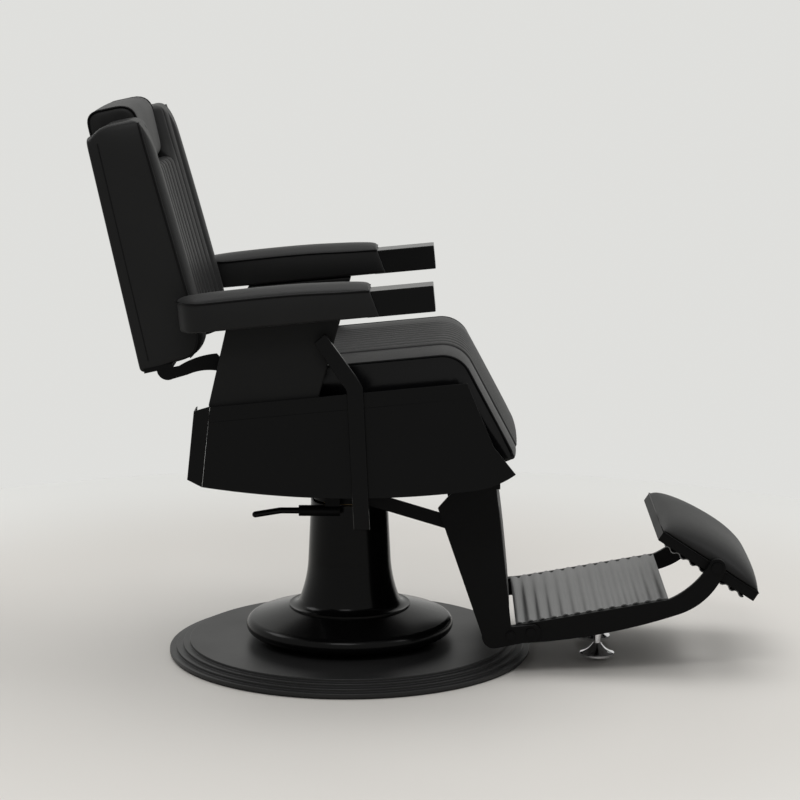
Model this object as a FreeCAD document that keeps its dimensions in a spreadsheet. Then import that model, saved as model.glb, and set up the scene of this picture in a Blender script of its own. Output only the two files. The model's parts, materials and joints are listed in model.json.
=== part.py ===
"""A reclining barber chair on a round floor base, with a hydraulic lift, a swivel and a folding foot rest.

Millimetres. The origin is on the floor under the middle of the base, +X is the way that the sitter faces,
+Y is the sitter's left and +Z is up. Right pieces lie at -Y and left pieces at +Y.
"""
import FreeCAD, Part
import math
import operator
import os
import Sketcher
from FreeCAD import Placement, Rotation, Vector

SIZES = {
    # Floor base
    "base_radius": 350,
    "base_flat_radius": 311,
    "base_top": 28,
    "base_edge_height": 11,
    "base_wall": 12,
    "base_rim_width": 30,
    "rim_steps": 3,
    "mat_height": 4,
    "mat_inset": 4,
    # Bell and column covers
    "bell_foot_radius": 150,
    "bell_rim_radius": 190,
    "bell_rim_height": 12,
    "bell_radius": 200,
    "bell_widest": 22,
    "bell_shoulder_radius": 188,
    "bell_shoulder_height": 42,
    "bell_top_radius": 118,
    "bell_height": 62,
    "bell_flange_radius": 97,
    "cover_wall": 3,
    "column_foot_radius": 117,
    "column_foot_height": 4,
    "column_flare_radius": 97,
    "column_flare_height": 14,
    "column_waist_radius": 80,
    "column_waist_height": 90,
    "column_bulge_radius": 86,
    "column_bulge_height": 49,
    "column_top_radius": 74,
    "column_height": 210,
    # Pump cylinder, ram and swivel
    "running_fit": 0.05,
    "cylinder_flange_radius": 84,
    "cylinder_flange_height": 14,
    "cylinder_radius": 55,
    "cylinder_bore": 45,
    "cylinder_floor": 12,
    "cylinder_height": 234,
    "bolt_count": 6,
    "bolt_circle": 70,
    "bolt_head_radius": 10,
    "bolt_head_height": 8,
    "bush_height": 40,
    "wiper_height": 6,
    "wiper_radius": 50,
    "wiper_gap": 0.3,
    "ram_radius": 38,
    "ram_floor_gap": 8,
    "piston_height": 16,
    "spigot_radius": 28,
    "spigot_height": 80,
    "washer_height": 4,
    "washer_radius": 60,
    "hub_radius": 70,
    "hub_height": 48,
    "hub_neck_radius": 58,
    "hub_neck_height": 66,
    "hub_top_wall": 34,
    "hub_plate_length": 220,
    "hub_plate_width": 140,
    "hub_plate_height": 12,
    # Seat frame
    "tube_height": 30,
    "tube_width": 40,
    "tube_wall": 3,
    "tube_offset": 60,
    "cleat_height": 14,
    "side_plate_thickness": 8,
    "side_plate_rise": 83,
    "panel_thickness": 31,
    "skirt_gap": 6,
    "skirt_thickness": 4,
    "standoff_radius": 8,
    # Linkage: the back, the leg rest and the two links turn together as a parallelogram
    "back_pivot_x": -168,
    "back_pivot_z": 521,
    "leg_pivot_x": 255,
    "leg_pivot_z": 393,
    "crank_back": 45,
    "crank_drop": 104,
    "pivot_radius": 9,
    "pivot_collar": 15,
    "link_pin_radius": 6,
    "link_depth": 25,
    "link_thickness": 8,
    "link_gap": 3,
    "back_arm_thickness": 8,
    "back_arm_depth": 33,
    "arm_gap": 3,
    "leg_half_width": 196,
    "leg_side_gap": 27,
    "leg_plate_thickness": 8,
    # Seat
    "seat_tilt": 5.5,
    "seat_half_width": 242,
    "seat_rear": -228,
    "seat_board_thickness": 12,
    "seat_thickness": 116,
    "seat_corner": 212,
    "seat_bend_radius": 55,
    "apron_angle": 65,
    "apron_length": 214,
    "seat_skin": 24,
    "seat_crown": 4,
    "seat_draw": 6,
    "channel_count": 11,
    "channel_pitch": 26,
    "channel_rise": 3,
    # Skirts round the seat frame
    "skirt_top": 557,
    "skirt_front": 223,
    "skirt_seam": 0.3,
    "skirt_bottom": 366,
    "skirt_nose": 312,
    "skirt_nose_height": 411,
    "skirt_knee_back": 40,
    "skirt_knee_rise": 50,
    "skirt_toe": 72,
    "skirt_toe_rise": 15,
    "skirt_toe_sag": 5,
    "skirt_band": 28,
    "skirt_band_depth": 1.2,
    "rear_panel_height": 150,
    "rear_panel_top_fall": 12,
    "rear_panel_foot_rise": 11,
    "rear_panel_lean": 6.2,
    "rear_panel_low_x": -285.5,
    "rear_panel_low_z": 389,
    "rear_panel_flange": 28,
    "rear_panel_wall": 3,
    "rear_notch_depth": 89,
    # Arm rests
    "arm_tilt": 5.4,
    "arm_base": 697,
    "arm_pad_rear": -294,
    "arm_pad_front": 66,
    "arm_pad_rake": 15,
    "arm_pad_height": 56,
    "arm_pad_crown": 10,
    "arm_pad_draw": 3,
    "arm_pad_half_width": 45,
    "arm_pad_gap": 5,
    "arm_bar_end": 167,
    "arm_bar_width": 60,
    "arm_bar_height": 47,
    "arm_bar_root": 44,
    "tongue_start": -230,
    "tongue_width": 50,
    "tongue_height": 12,
    "arm_screw_count": 3,
    "arm_screw_first": 90,
    "arm_screw_pitch": 27,
    "arm_screw_radius": 5,
    "arm_screw_height": 3,
    "panel_rear_top": -212,
    "panel_front_top": -4,
    "panel_rear_low": -245,
    "panel_front_low": -44,
    "panel_shoulder": 534,
    "panel_foot": 482,
    # Pump lever and release lever
    "lever_gap": 7,
    "lever_thickness": 10,
    "lever_width": 29,
    "lever_slant": 12,
    "lever_x": 33,
    "lever_bottom": 311,
    "lever_top_x": -42,
    "lever_drop": 35,
    "lever_hook": 90,
    "lever_tip_width": 26,
    "lever_shaft_radius": 7,
    "lever_shaft_rise": 8,
    "lever_shaft_end": 22,
    "hanger_width": 24,
    "hanger_thickness": 8,
    "hanger_height": 146,
    "release_y": -90,
    "release_z": 296,
    "release_radius": 10.5,
    "release_bore": 6,
    "release_rear": -93,
    "release_front": -15,
    "release_bend": -128,
    "release_tip_x": -176,
    "release_tip_z": 288,
    "release_rod_inset": 60,
    "saddle_length": 28,
    "saddle_height": 34,
    # Gas spring
    "gas_y": 95,
    "gas_drop": 107.3,
    "gas_radius": 11,
    "gas_rear": -95,
    "gas_front": 72,
    "gas_rod_radius": 5,
    "gas_stroke": 100,
    "gas_rod_inset": 35,
    "gas_eye_half_length": 14,
    "gas_eye_half_height": 20,
    "gas_eye_thickness": 8,
    "gas_slot_half_length": 7.6,
    "gas_slot_half_height": 13,
    "gas_lug": 14,
    # Back rest, drawn upright about its lower edge and then leaned
    "back_lean": 12.2,
    "back_x": -330,
    "back_z": 602,
    "back_rear": -45,
    "back_height": 446,
    "back_half_width": 252,
    "back_seam_low": 78,
    "back_taper": 3,
    "back_bolster": 13,
    "back_hollow": 16,
    "back_hollow_edge": 4,
    "back_channel_count": 15,
    "back_corner": 34,
    "back_round_height": 68,
    "back_round_depth": 25,
    "back_rear_round": 10,
    "back_panel_thickness": 8,
    "back_panel_inset": 8,
    "back_board_thickness": 12,
    "back_board_half_width": 225,
    "back_board_height": 335,
    "rail_depth": 8,
    "rail_width": 54,
    "notch_half_width": 141,
    "notch_floor": 346,
    "soft_gap": 0.3,
    # Head rest
    "head_half_width": 136,
    "head_floor_gap": 5,
    "head_height": 113,
    "head_crown": 5,
    "head_setback": 20,
    "head_draw": 6,
    "head_rear_draw": 4,
    "head_bow": 4,
    "head_board_half_width": 105,
    "head_board_height": 100,
    "head_board_thickness": 12,
    "post_width": 60,
    "post_thickness": 12,
    "post_foot": 170,
    "post_grip": 48,
    "sleeve_wall": 3,
    "sleeve_foot": 140,
    # Leg rest
    "leg_boss_radius": 24,
    "leg_link_corner_x": 171,
    "leg_link_corner_z": 324,
    "leg_rear_low_x": 254,
    "leg_rear_low_z": 81,
    "leg_foot_x": 282,
    "leg_foot_z": 56,
    "leg_front_top_x": 280,
    "leg_front_top_z": 359,
    "leg_front_low_x": 309,
    "leg_front_low_z": 97,
    "toe_x": 364,
    "toe_low_z": 73,
    "toe_high_z": 100,
    "calf_height": 235,
    "calf_lean": -5.5,
    "calf_low_x": 284,
    "calf_low_z": 99,
    "calf_board_thickness": 10,
    "calf_pad_thickness": 22,
    "calf_crown": 5,
    "calf_bulge": 2,
    "calf_draw": 5,
    "calf_gap": 2,
    # Foot rest
    "foot_arm_thickness": 10,
    "foot_tilt": 10,
    "foot_rear_x": 300,
    "foot_rear_z": 95,
    "foot_arm_depth": 33,
    "foot_arm_sag_x": 451,
    "foot_arm_sag_z": 77,
    "foot_arm_belly_x": 622,
    "foot_arm_belly_z": 120,
    "foot_plate_start": 18,
    "foot_plate_drop": 3,
    "foot_rib_count": 13,
    "foot_rib_pitch": 22.3,
    "foot_rib_height": 4,
    "foot_plate_wall": 2.5,
    "foot_plate_inset": 0.5,
    "foot_eye_radius": 17,
    "toe_bolt_rear": 308,
    "toe_bolt_front": 345,
    "toe_bolt_z": 81,
    "toe_bolt_pitch_rise": 6,
    "toe_bolt_radius": 8,
    "toe_bolt_height": 5,
    "stay_x": 478,
    "stay_length": 26,
    "stay_height": 10,
    "stay_drop": 12,
    "post_foot_y": 65,
    "post_foot_radius": 7.5,
    "bell_foot_clear": 9,
    "bell_foot_height": 24,
    "bell_foot_rim": 33,
    # Flip pad at the end of the foot rest
    "flip_x": 692,
    "flip_z": 210,
    "flip_tilt": 33,
    "flip_rear": 119,
    "flip_front": 96,
    "flip_gap": 4,
    "flip_frame_height": 18,
    "flip_wall": 4,
    "flip_rib_count": 8,
    "flip_rib_pitch": 22,
    "flip_rib_height": 5,
    "flip_tread_wall": 2,
    "flip_deck": 8,
    "flip_pad_crown": 40,
    "flip_pad_edge": 16,
    "flip_pad_draw": 4,
    "flip_pad_roll": 8,
    "flip_pad_nose": 2,
    "flip_bolt_radius": 6,
    "flip_bolt_head": 10,
    "flip_bolt_head_height": 4,
}

SIDES = {"right": -1, "left": 1}
# Cross sections on each half of a stuffed piece, closer together towards its edge
PILLOW_STEPS = 4

doc = FreeCAD.newDocument("barber_chair")
sheet = doc.addObject("Spreadsheet::Sheet", "Sizes")
for row, (alias, number) in enumerate(SIZES.items(), start=1):
    sheet.set(f"A{row}", alias)
    sheet.set(f"B{row}", str(number))
    sheet.setAlias(f"B{row}", alias)
doc.recompute()

OPERATORS = {"+": operator.add, "-": operator.sub, "*": operator.mul, "/": operator.truediv}
nodes = []


class Dim:
    """A size: its number, and the sheet formula that a property or a sketch constraint is bound to."""

    def __init__(self, number, formula):
        self.number = number
        self.formula = formula

    def __float__(self):
        return self.number

    def __add__(self, other):
        return combined(self, "+", other)

    def __radd__(self, other):
        return combined(other, "+", self)

    def __sub__(self, other):
        return combined(self, "-", other)

    def __rsub__(self, other):
        return combined(other, "-", self)

    def __mul__(self, other):
        return combined(self, "*", other)

    def __rmul__(self, other):
        return combined(other, "*", self)

    def __truediv__(self, other):
        return combined(self, "/", other)

    def __rtruediv__(self, other):
        return combined(other, "/", self)

    def __neg__(self):
        return combined(0, "-", self)


def dim(value):
    """A plain number as a size, so that it can stand in a formula."""
    return value if isinstance(value, Dim) else Dim(float(value), f"({float(value)})")


def combined(left, sign, right):
    left = dim(left)
    right = dim(right)
    number = OPERATORS[sign](left.number, right.number)
    return Dim(number, f"({left.formula} {sign} {right.formula})")


def sine(angle):
    return Dim(math.sin(math.radians(float(angle))), f"sin({dim(angle).formula})")


def cosine(angle):
    return Dim(math.cos(math.radians(float(angle))), f"cos({dim(angle).formula})")


def tangent(angle):
    return sine(angle) / cosine(angle)


def larger(left, right):
    number = max(float(left), float(right))
    return Dim(number, f"max({dim(left).formula}; {dim(right).formula})")


class SheetSizes:
    """The sheet's cells by name, as sizes."""

    def __getattr__(self, alias):
        return Dim(float(sheet.get(alias)), f"Sizes.{alias}")


size = SheetSizes()


def count(value):
    return int(round(float(value)))


def bind(target, name, value):
    target.setExpression(name, dim(value).formula)


def keep(piece):
    """Notes a finished sub-part, which is written to a file under its label."""
    nodes.append(piece)
    return piece


def place(piece, x=0, y=0, z=0, axis=Vector(0, 1, 0), angle=0):
    """Puts a piece at a point, turned about an axis by a sheet angle."""
    piece.Placement = Placement(Vector(float(x), float(y), float(z)), Rotation(axis, float(angle)))
    for letter, value in zip("xyz", (x, y, z)):
        bind(piece, f"Placement.Base.{letter}", value)
    if isinstance(angle, Dim):
        bind(piece, "Placement.Rotation.Angle", angle)
    return piece


def flat(corner):
    return Vector(float(corner[0]), float(corner[1]), 0)


def pin_point(sketch, curve, end, point):
    """Holds one end of a sketched curve at a point given by two sizes."""
    for kind, value in zip(("DistanceX", "DistanceY"), point):
        index = sketch.addConstraint(Sketcher.Constraint(kind, -1, 1, curve, end, float(value)))
        if isinstance(value, Dim):
            sketch.setExpression(f"Constraints[{index}]", value.formula)


def outline(body, name, plane, corners, circles=()):
    """A closed sketch through corners (a, b), or (a, b, via) with via on the arc to the next corner.

    Circles are (a, b, radius).
    """
    sketch = body.newObject("Sketcher::SketchObject", f"{body.Name}_{name}")
    origin_plane = [feature for feature in body.Origin.OriginFeatures if feature.Role == plane]
    sketch.AttachmentSupport = [(origin_plane[0], "")]
    sketch.MapMode = "FlatFace"
    following = corners[1:] + corners[:1]
    ends = []
    for corner, after in zip(corners, following):
        if len(corner) == 3:
            curve = sketch.addGeometry(Part.Arc(flat(corner), flat(corner[2]), flat(after)), False)
        else:
            curve = sketch.addGeometry(Part.LineSegment(flat(corner), flat(after)), False)
        forward = sketch.getPoint(curve, 1).distanceToPoint(flat(corner)) < 1e-6
        ends.append((1, 2) if forward else (2, 1))
    for index in range(len(corners)):
        after = (index + 1) % len(corners)
        sketch.addConstraint(Sketcher.Constraint("Coincident", index, ends[index][1], after, ends[after][0]))
    for index, corner in enumerate(corners):
        pin_point(sketch, index, ends[index][0], corner[:2])
        if len(corner) == 3:
            mark = sketch.addGeometry(Part.Point(flat(corner[2])), True)
            sketch.addConstraint(Sketcher.Constraint("PointOnObject", mark, 1, index))
            pin_point(sketch, mark, 1, corner[2])
    for circle in circles:
        radius = float(circle[2])
        curve = sketch.addGeometry(Part.Circle(flat(circle), Vector(0, 0, 1), radius), False)
        pin_point(sketch, curve, 3, circle[:2])
        index = sketch.addConstraint(Sketcher.Constraint("Radius", curve, radius))
        sketch.setExpression(f"Constraints[{index}]", dim(circle[2]).formula)
    return sketch


def pad(body, sketch, length, symmetric=True):
    feature = body.newObject("PartDesign::Pad", f"{body.Name}_pad")
    feature.Profile = sketch
    feature.SideType = "Symmetric" if symmetric else "One side"
    bind(feature, "Length", length)
    return feature


def plate(label, corners, thickness, y, circles=()):
    """A flat piece cut to an outline in the side view, centred on y."""
    body = doc.addObject("PartDesign::Body", label)
    pad(body, outline(body, "outline", "XZ_Plane", corners, circles), thickness)
    return place(body, y=y)


def turned(label, corners, x=0, y=0, z=0):
    """A round piece: half of its section, as (radius, height), turned about an upright axis."""
    body = doc.addObject("PartDesign::Body", label)
    revolution = body.newObject("PartDesign::Revolution", f"{label}_turn")
    sketch = outline(body, "section", "XZ_Plane", corners)
    revolution.Profile = sketch
    revolution.ReferenceAxis = (sketch, ["V_Axis"])
    body.Tip = revolution
    return place(body, x, y, z)


def ring(label, inner, outer, bottom, height):
    top = bottom + height
    return turned(label, [(inner, bottom), (outer, bottom), (outer, top), (inner, top)])


def block(label, length, width, height, x, y, z, angle=0):
    """A box whose lower rear right corner is at x, y, z, tilted about that corner in the side view."""
    box = doc.addObject("Part::Box", label)
    bind(box, "Length", length)
    bind(box, "Width", width)
    bind(box, "Height", height)
    return place(box, x, y, z, angle=angle)


def rod(label, radius, length, x, y, z, axis="y"):
    """A round bar that starts at x, y, z and runs along an axis."""
    cylinder = doc.addObject("Part::Cylinder", label)
    bind(cylinder, "Radius", radius)
    bind(cylinder, "Height", length)
    turn = {"x": (Vector(0, 1, 0), 90), "y": (Vector(1, 0, 0), -90), "z": (Vector(0, 0, 1), 0)}[axis]
    return place(cylinder, x, y, z, *turn)


def joined(label, pieces):
    """Pieces welded into one solid."""
    union = doc.addObject("Part::MultiFuse", label)
    union.Shapes = pieces
    return union


def less(label, piece, tool):
    cut = doc.addObject("Part::Cut", label)
    cut.Base = piece
    cut.Tool = tool
    return cut


def group(label, pieces):
    """Separate like solids, such as fasteners, under one name."""
    compound = doc.addObject("Part::Compound", label)
    compound.Links = pieces
    return compound


def edges_of(corners, y):
    """Straight edges and arcs through side-view corners, at one distance from the middle."""
    points = [Vector(float(corner[0]), y, float(corner[1])) for corner in corners]
    edges = []
    for index, corner in enumerate(corners):
        start = points[index]
        end = points[(index + 1) % len(points)]
        if len(corner) == 3:
            via = Vector(float(corner[2][0]), y, float(corner[2][1]))
            edges.append(Part.Arc(start, via, end).toShape())
        else:
            edges.append(Part.makeLine(start, end))
    return edges


def side_wire(corners, y):
    return Part.Wire(edges_of(corners, y))


def side_prism(corners, half_width):
    """A solid with one side-view outline over its whole width."""
    half_width = float(half_width)
    return Part.Face(side_wire(corners, -half_width)).extrude(Vector(0, 2 * half_width, 0))


def pillow(profile, half_width):
    """A stuffed solid lofted across its width: profile(fullness) gives the side-view corners of a section."""
    sections = []
    for step in range(-PILLOW_STEPS, PILLOW_STEPS + 1):
        angle = math.pi / 2 * step / PILLOW_STEPS
        fullness = math.sqrt(max(math.cos(angle), 0))
        sections.append(side_wire(profile(fullness), math.sin(angle) * float(half_width)))
    return Part.makeLoft(sections, True, False)


def solid_box(low, high):
    low = Vector(*(float(value) for value in low))
    high = Vector(*(float(value) for value in high))
    return Part.makeBox(high.x - low.x, high.y - low.y, high.z - low.z, low)


def shaped(label, solid, x=0, y=0, z=0, angle=0):
    """A free form as a document object, placed by sheet sizes."""
    piece = doc.addObject("Part::Feature", label)
    piece.Shape = solid
    return place(piece, x, y, z, angle=angle)


# Heights of the stacked base and lift pieces
bell_base = size.base_top
column_base = bell_base + size.bell_height
column_top = column_base + size.column_height
cylinder_base = size.base_top
cylinder_top = cylinder_base + size.cylinder_height
hub_base = column_top + size.washer_height
hub_neck_base = hub_base + size.hub_height
hub_top = hub_neck_base + size.hub_neck_height
tube_base = hub_top + size.hub_plate_height
tube_top = tube_base + size.tube_height

# Distances from the middle plane to each layer of the seat frame, from the inside out
leg_inner = size.leg_half_width - size.leg_plate_thickness
link_outer = leg_inner - size.link_gap
back_arm_inner = size.seat_half_width + size.arm_gap
back_arm_outer = back_arm_inner + size.back_arm_thickness
side_inner = larger(back_arm_outer + size.arm_gap, size.leg_half_width + size.leg_side_gap)
side_outer = side_inner + size.side_plate_thickness
panel_outer = side_outer + size.panel_thickness
skirt_inner = panel_outer + size.skirt_gap
skirt_outer = skirt_inner + size.skirt_thickness
lever_inner = skirt_outer + size.lever_gap
arm_middle = size.back_half_width + size.arm_pad_gap + size.arm_pad_half_width
foot_arm_inner = leg_inner - size.foot_arm_thickness
foot_plate_half = foot_arm_inner - size.foot_plate_inset
flip_half = foot_arm_inner - size.flip_gap

# Seat planes, as heights at x = 0
seat_slope = tangent(size.seat_tilt)
board_underside = tube_top + size.cleat_height
board_topside = board_underside + size.seat_board_thickness
seat_seam = board_topside + size.seat_thickness

# Rear edges of the side skirts, a seam's width in front of the rear panel's flanges
panel_edge_x = size.rear_panel_low_x + size.rear_panel_flange * cosine(size.rear_panel_lean)
panel_edge_z = size.rear_panel_low_z - size.rear_panel_flange * sine(size.rear_panel_lean)
panel_slope = tangent(size.rear_panel_lean)
skirt_rear_low_z = size.skirt_bottom + size.skirt_thickness * 5
skirt_rear_low = panel_edge_x + size.skirt_seam + (skirt_rear_low_z - panel_edge_z) * panel_slope
skirt_rear_height = size.skirt_top + seat_slope * skirt_rear_low - skirt_rear_low_z
skirt_rear = skirt_rear_low + skirt_rear_height * panel_slope / (1 - seat_slope * panel_slope)

# Heights of the pump lever, which hooks back under the arm rest
lever_top_z = size.arm_base - size.lever_drop
lever_bend = lever_top_z - size.lever_hook

# Link pins, on the back's cranks and on the leg plates
rear_pin_x = size.back_pivot_x - size.crank_back
rear_pin_z = size.back_pivot_z - size.crank_drop
front_pin_x = size.leg_pivot_x - size.crank_back
front_pin_z = size.leg_pivot_z - size.crank_drop


def seat_height(base, x):
    """The height of a plane that slopes with the seat."""
    return base + seat_slope * x


def back_point(depth, rise):
    """A side-view point of the leaned back: depth forward of and rise above its lower edge."""
    x = size.back_x + depth * cosine(size.back_lean) - rise * sine(size.back_lean)
    z = size.back_z + depth * sine(size.back_lean) + rise * cosine(size.back_lean)
    return x, z


def arm_point(along, up):
    """A side-view point of an arm rest, along and above its sloping underside."""
    x = along * cosine(size.arm_tilt) - up * sine(size.arm_tilt)
    z = size.arm_base + along * sine(size.arm_tilt) + up * cosine(size.arm_tilt)
    return x, z


def foot_point(along, up):
    """A side-view point of the foot rest, along and above the sloping top edge of its arms."""
    x = size.foot_rear_x + along * cosine(size.foot_tilt) - up * sine(size.foot_tilt)
    z = size.foot_rear_z + along * sine(size.foot_tilt) + up * cosine(size.foot_tilt)
    return x, z


def flip_point(along, up):
    """A side-view point of the flip pad, which slopes down to the front from its pivot."""
    x = size.flip_x + along * cosine(size.flip_tilt) + up * sine(size.flip_tilt)
    z = size.flip_z - along * sine(size.flip_tilt) + up * cosine(size.flip_tilt)
    return x, z


def make_base():
    """The floor mat, the stepped base plate and the covers round the lift."""
    keep(ring("floor_mat", 0, size.base_radius - size.mat_inset, 0, size.mat_height))
    steps = count(size.rim_steps)
    run = (size.base_radius - size.base_flat_radius) / steps
    rise = (size.base_top - size.base_edge_height) / steps
    edge = [(size.base_radius, size.mat_height), (size.base_radius, size.base_edge_height)]
    for step in range(1, steps + 1):
        radius = size.base_radius - run * step
        edge.append((radius, size.base_edge_height + rise * (step - 1)))
        edge.append((radius, size.base_edge_height + rise * step))
    underside = size.base_top - size.base_wall
    inner = size.base_radius - size.base_rim_width
    dish = [(0, size.base_top), (0, underside), (inner, underside), (inner, size.mat_height)]
    keep(turned("base_plate", edge + dish))

    wall = size.cover_wall
    widest = bell_base + size.bell_widest
    rim = bell_base + size.bell_rim_height
    shoulder = bell_base + size.bell_shoulder_height
    keep(turned("base_bell", [
        (size.bell_foot_radius, bell_base),
        (size.bell_rim_radius, rim, (size.bell_radius, widest)),
        (size.bell_shoulder_radius, shoulder),
        (size.bell_top_radius, column_base),
        (size.bell_flange_radius, column_base),
        (size.bell_flange_radius, column_base - wall),
        (size.bell_top_radius - wall, column_base - wall),
        (size.bell_shoulder_radius - wall, shoulder - wall, (size.bell_radius - wall, widest)),
        (size.bell_rim_radius - wall, rim + wall),
        (size.bell_foot_radius - wall, bell_base + wall),
        (size.bell_foot_radius - wall, bell_base),
    ]))

    flare = column_base + size.column_flare_height
    bulge = column_base + size.column_bulge_height
    waist = column_base + size.column_waist_height
    foot_top = column_base + size.column_foot_height
    flare_via = (size.column_flare_radius + wall * 2, foot_top + wall)
    keep(turned("column_cover", [
        (size.column_foot_radius, column_base),
        (size.column_foot_radius, foot_top, flare_via),
        (size.column_flare_radius, flare, (size.column_bulge_radius, bulge)),
        (size.column_waist_radius, waist),
        (size.column_top_radius, column_top),
        (size.column_top_radius - wall, column_top),
        (size.column_waist_radius - wall, waist, (size.column_bulge_radius - wall, bulge)),
        (size.column_flare_radius - wall, flare),
        (size.column_flare_radius - wall, column_base),
    ]))


def make_lift():
    """The pump cylinder in the base, the ram that rises out of it and the washer that the seat turns on."""
    flange_top = cylinder_base + size.cylinder_flange_height
    floor = cylinder_base + size.cylinder_floor
    keep(turned("pump_cylinder", [
        (0, cylinder_base),
        (size.cylinder_flange_radius, cylinder_base),
        (size.cylinder_flange_radius, flange_top),
        (size.cylinder_radius, flange_top),
        (size.cylinder_radius, cylinder_top),
        (size.cylinder_bore, cylinder_top),
        (size.cylinder_bore, floor),
        (0, floor),
    ]))
    heads = []
    for index in range(count(size.bolt_count)):
        angle = 360 / size.bolt_count * index
        head = doc.addObject("Part::Prism", f"cylinder_bolt_{index + 1}")
        head.Polygon = 6
        bind(head, "Circumradius", size.bolt_head_radius)
        bind(head, "Height", size.bolt_head_height)
        x = size.bolt_circle * cosine(angle)
        y = size.bolt_circle * sine(angle)
        heads.append(place(head, x, y, flange_top))
    keep(group("cylinder_bolts", heads))

    bush_bore = size.ram_radius + size.running_fit
    bush_base = cylinder_top - size.bush_height
    keep(ring("ram_guide_bush", bush_bore, size.cylinder_bore, bush_base, size.bush_height))
    wiper_bore = size.ram_radius + size.wiper_gap
    keep(ring("ram_wiper_seal", wiper_bore, size.wiper_radius, cylinder_top, size.wiper_height))

    ram_base = floor + size.ram_floor_gap
    spigot_top = column_top + size.spigot_height
    piston_radius = size.cylinder_bore - size.running_fit
    piston_top = ram_base + size.piston_height
    keep(turned("lift_ram", [
        (0, ram_base),
        (piston_radius, ram_base),
        (piston_radius, piston_top),
        (size.ram_radius, piston_top),
        (size.ram_radius, column_top),
        (size.spigot_radius, column_top),
        (size.spigot_radius, spigot_top),
        (0, spigot_top),
    ]))
    washer_bore = size.spigot_radius + size.wiper_gap
    keep(ring("thrust_washer", washer_bore, size.washer_radius, column_top, size.washer_height))


def make_hub():
    """The swivel hub on the ram, bored for the lever shaft, and the plate that carries the seat frame."""
    bore = size.spigot_radius + size.running_fit
    bore_top = hub_top - size.hub_top_wall
    body = turned("swivel_hub_blank", [
        (bore, hub_base),
        (size.hub_radius, hub_base),
        (size.hub_radius, hub_neck_base),
        (size.hub_neck_radius, hub_neck_base),
        (size.hub_neck_radius, hub_top),
        (0, hub_top),
        (0, bore_top),
        (bore, bore_top),
    ])
    shaft_z = size.lever_bottom + size.lever_shaft_rise
    shaft_bore = size.lever_shaft_radius + size.running_fit
    drill_length = size.hub_radius - size.lever_shaft_end
    drill = rod("swivel_hub_drill", shaft_bore, drill_length, size.lever_x, -size.hub_radius, shaft_z)
    keep(less("swivel_hub", body, drill))
    keep(block("hub_plate", size.hub_plate_length, size.hub_plate_width, size.hub_plate_height,
               -size.hub_plate_length / 2, -size.hub_plate_width / 2, hub_top))


def make_seat_frame():
    """Two cross tubes, the wedges under the seat board, and the side plates that hold every pivot."""
    wall = size.tube_wall
    tubes = []
    cleats = []
    for name, sign in {"front": 1, "rear": -1}.items():
        label = f"cross_tube_{name}"
        rear_edge = size.tube_offset * sign - size.tube_width / 2
        outer = block(f"{label}_outer", size.tube_width, side_inner * 2, size.tube_height,
                      rear_edge, -side_inner, tube_base)
        hollow_width = size.tube_width - wall * 2
        hollow_height = size.tube_height - wall * 2
        hollow = block(f"{label}_hollow", hollow_width, side_inner * 2, hollow_height,
                       rear_edge + wall, -side_inner, tube_base + wall)
        tubes.append(less(label, outer, hollow))
        front_edge = rear_edge + size.tube_width
        cleat = [
            (rear_edge, tube_top),
            (front_edge, tube_top),
            (front_edge, seat_height(board_underside, front_edge)),
            (rear_edge, seat_height(board_underside, rear_edge)),
        ]
        cleats.append(plate(f"seat_cleat_{name}", cleat, size.hub_plate_width * 2, 0))
    keep(group("cross_tubes", tubes))
    keep(group("seat_cleats", cleats))

    rear = size.back_pivot_x - size.back_arm_depth
    front = size.leg_pivot_x + size.pivot_collar * 2
    low_front = size.leg_pivot_z - size.pivot_collar - wall
    high = size.back_pivot_z + size.pivot_collar + wall * 2
    panel_front = size.panel_front_low - size.pivot_collar
    side = [
        (rear, high - size.side_plate_rise - size.pivot_collar),
        (size.leg_link_corner_x, low_front + size.tube_width),
        (size.leg_pivot_x - size.pivot_collar * 2, low_front),
        (front, low_front),
        (front, size.leg_pivot_z + size.pivot_collar),
        (size.skirt_front, seat_height(board_underside, size.skirt_front)),
        (panel_front, seat_height(board_underside, panel_front)),
        (panel_front, high),
        (rear, high),
    ]
    holes = [
        (size.back_pivot_x, size.back_pivot_z, size.pivot_radius),
        (size.leg_pivot_x, size.leg_pivot_z, size.pivot_radius),
    ]
    middle = (side_inner + side_outer) / 2
    plates = []
    pins = []
    standoffs = []
    for name, sign in SIDES.items():
        plates.append(plate(f"side_plate_{name}", side, size.side_plate_thickness, middle * sign, holes))
        pins.append(stepped_pin(f"back_pivot_pin_{name}", size.back_pivot_x, size.back_pivot_z,
                                back_arm_inner, back_arm_outer, sign))
        pins.append(stepped_pin(f"leg_pivot_pin_{name}", size.leg_pivot_x, size.leg_pivot_z,
                                leg_inner, size.leg_half_width, sign))
        standoff_z = size.leg_pivot_z + size.tube_width
        for index, x in enumerate((size.skirt_front - size.tube_width, rear + size.tube_width)):
            start = side_outer if sign > 0 else -skirt_inner
            standoffs.append(rod(f"skirt_standoff_{name}_{index + 1}", size.standoff_radius,
                                 skirt_inner - side_outer, x, start, standoff_z))
    keep(group("side_plates", plates))
    keep(group("pivot_pins", pins))
    keep(group("skirt_standoffs", standoffs))


def stepped_pin(label, x, z, inner, outer, sign):
    """A pivot pin through a moving plate and a side plate, with a collar that keeps the two apart."""
    collar_start = outer + size.soft_gap
    length = side_outer - inner
    start = inner if sign > 0 else -side_outer
    collar_length = side_inner - collar_start
    collar_at = collar_start if sign > 0 else -side_inner
    return joined(label, [
        rod(f"{label}_shank", size.pivot_radius, length, x, start, z),
        rod(f"{label}_collar", size.pivot_collar, collar_length, x, collar_at, z),
    ])


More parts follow.
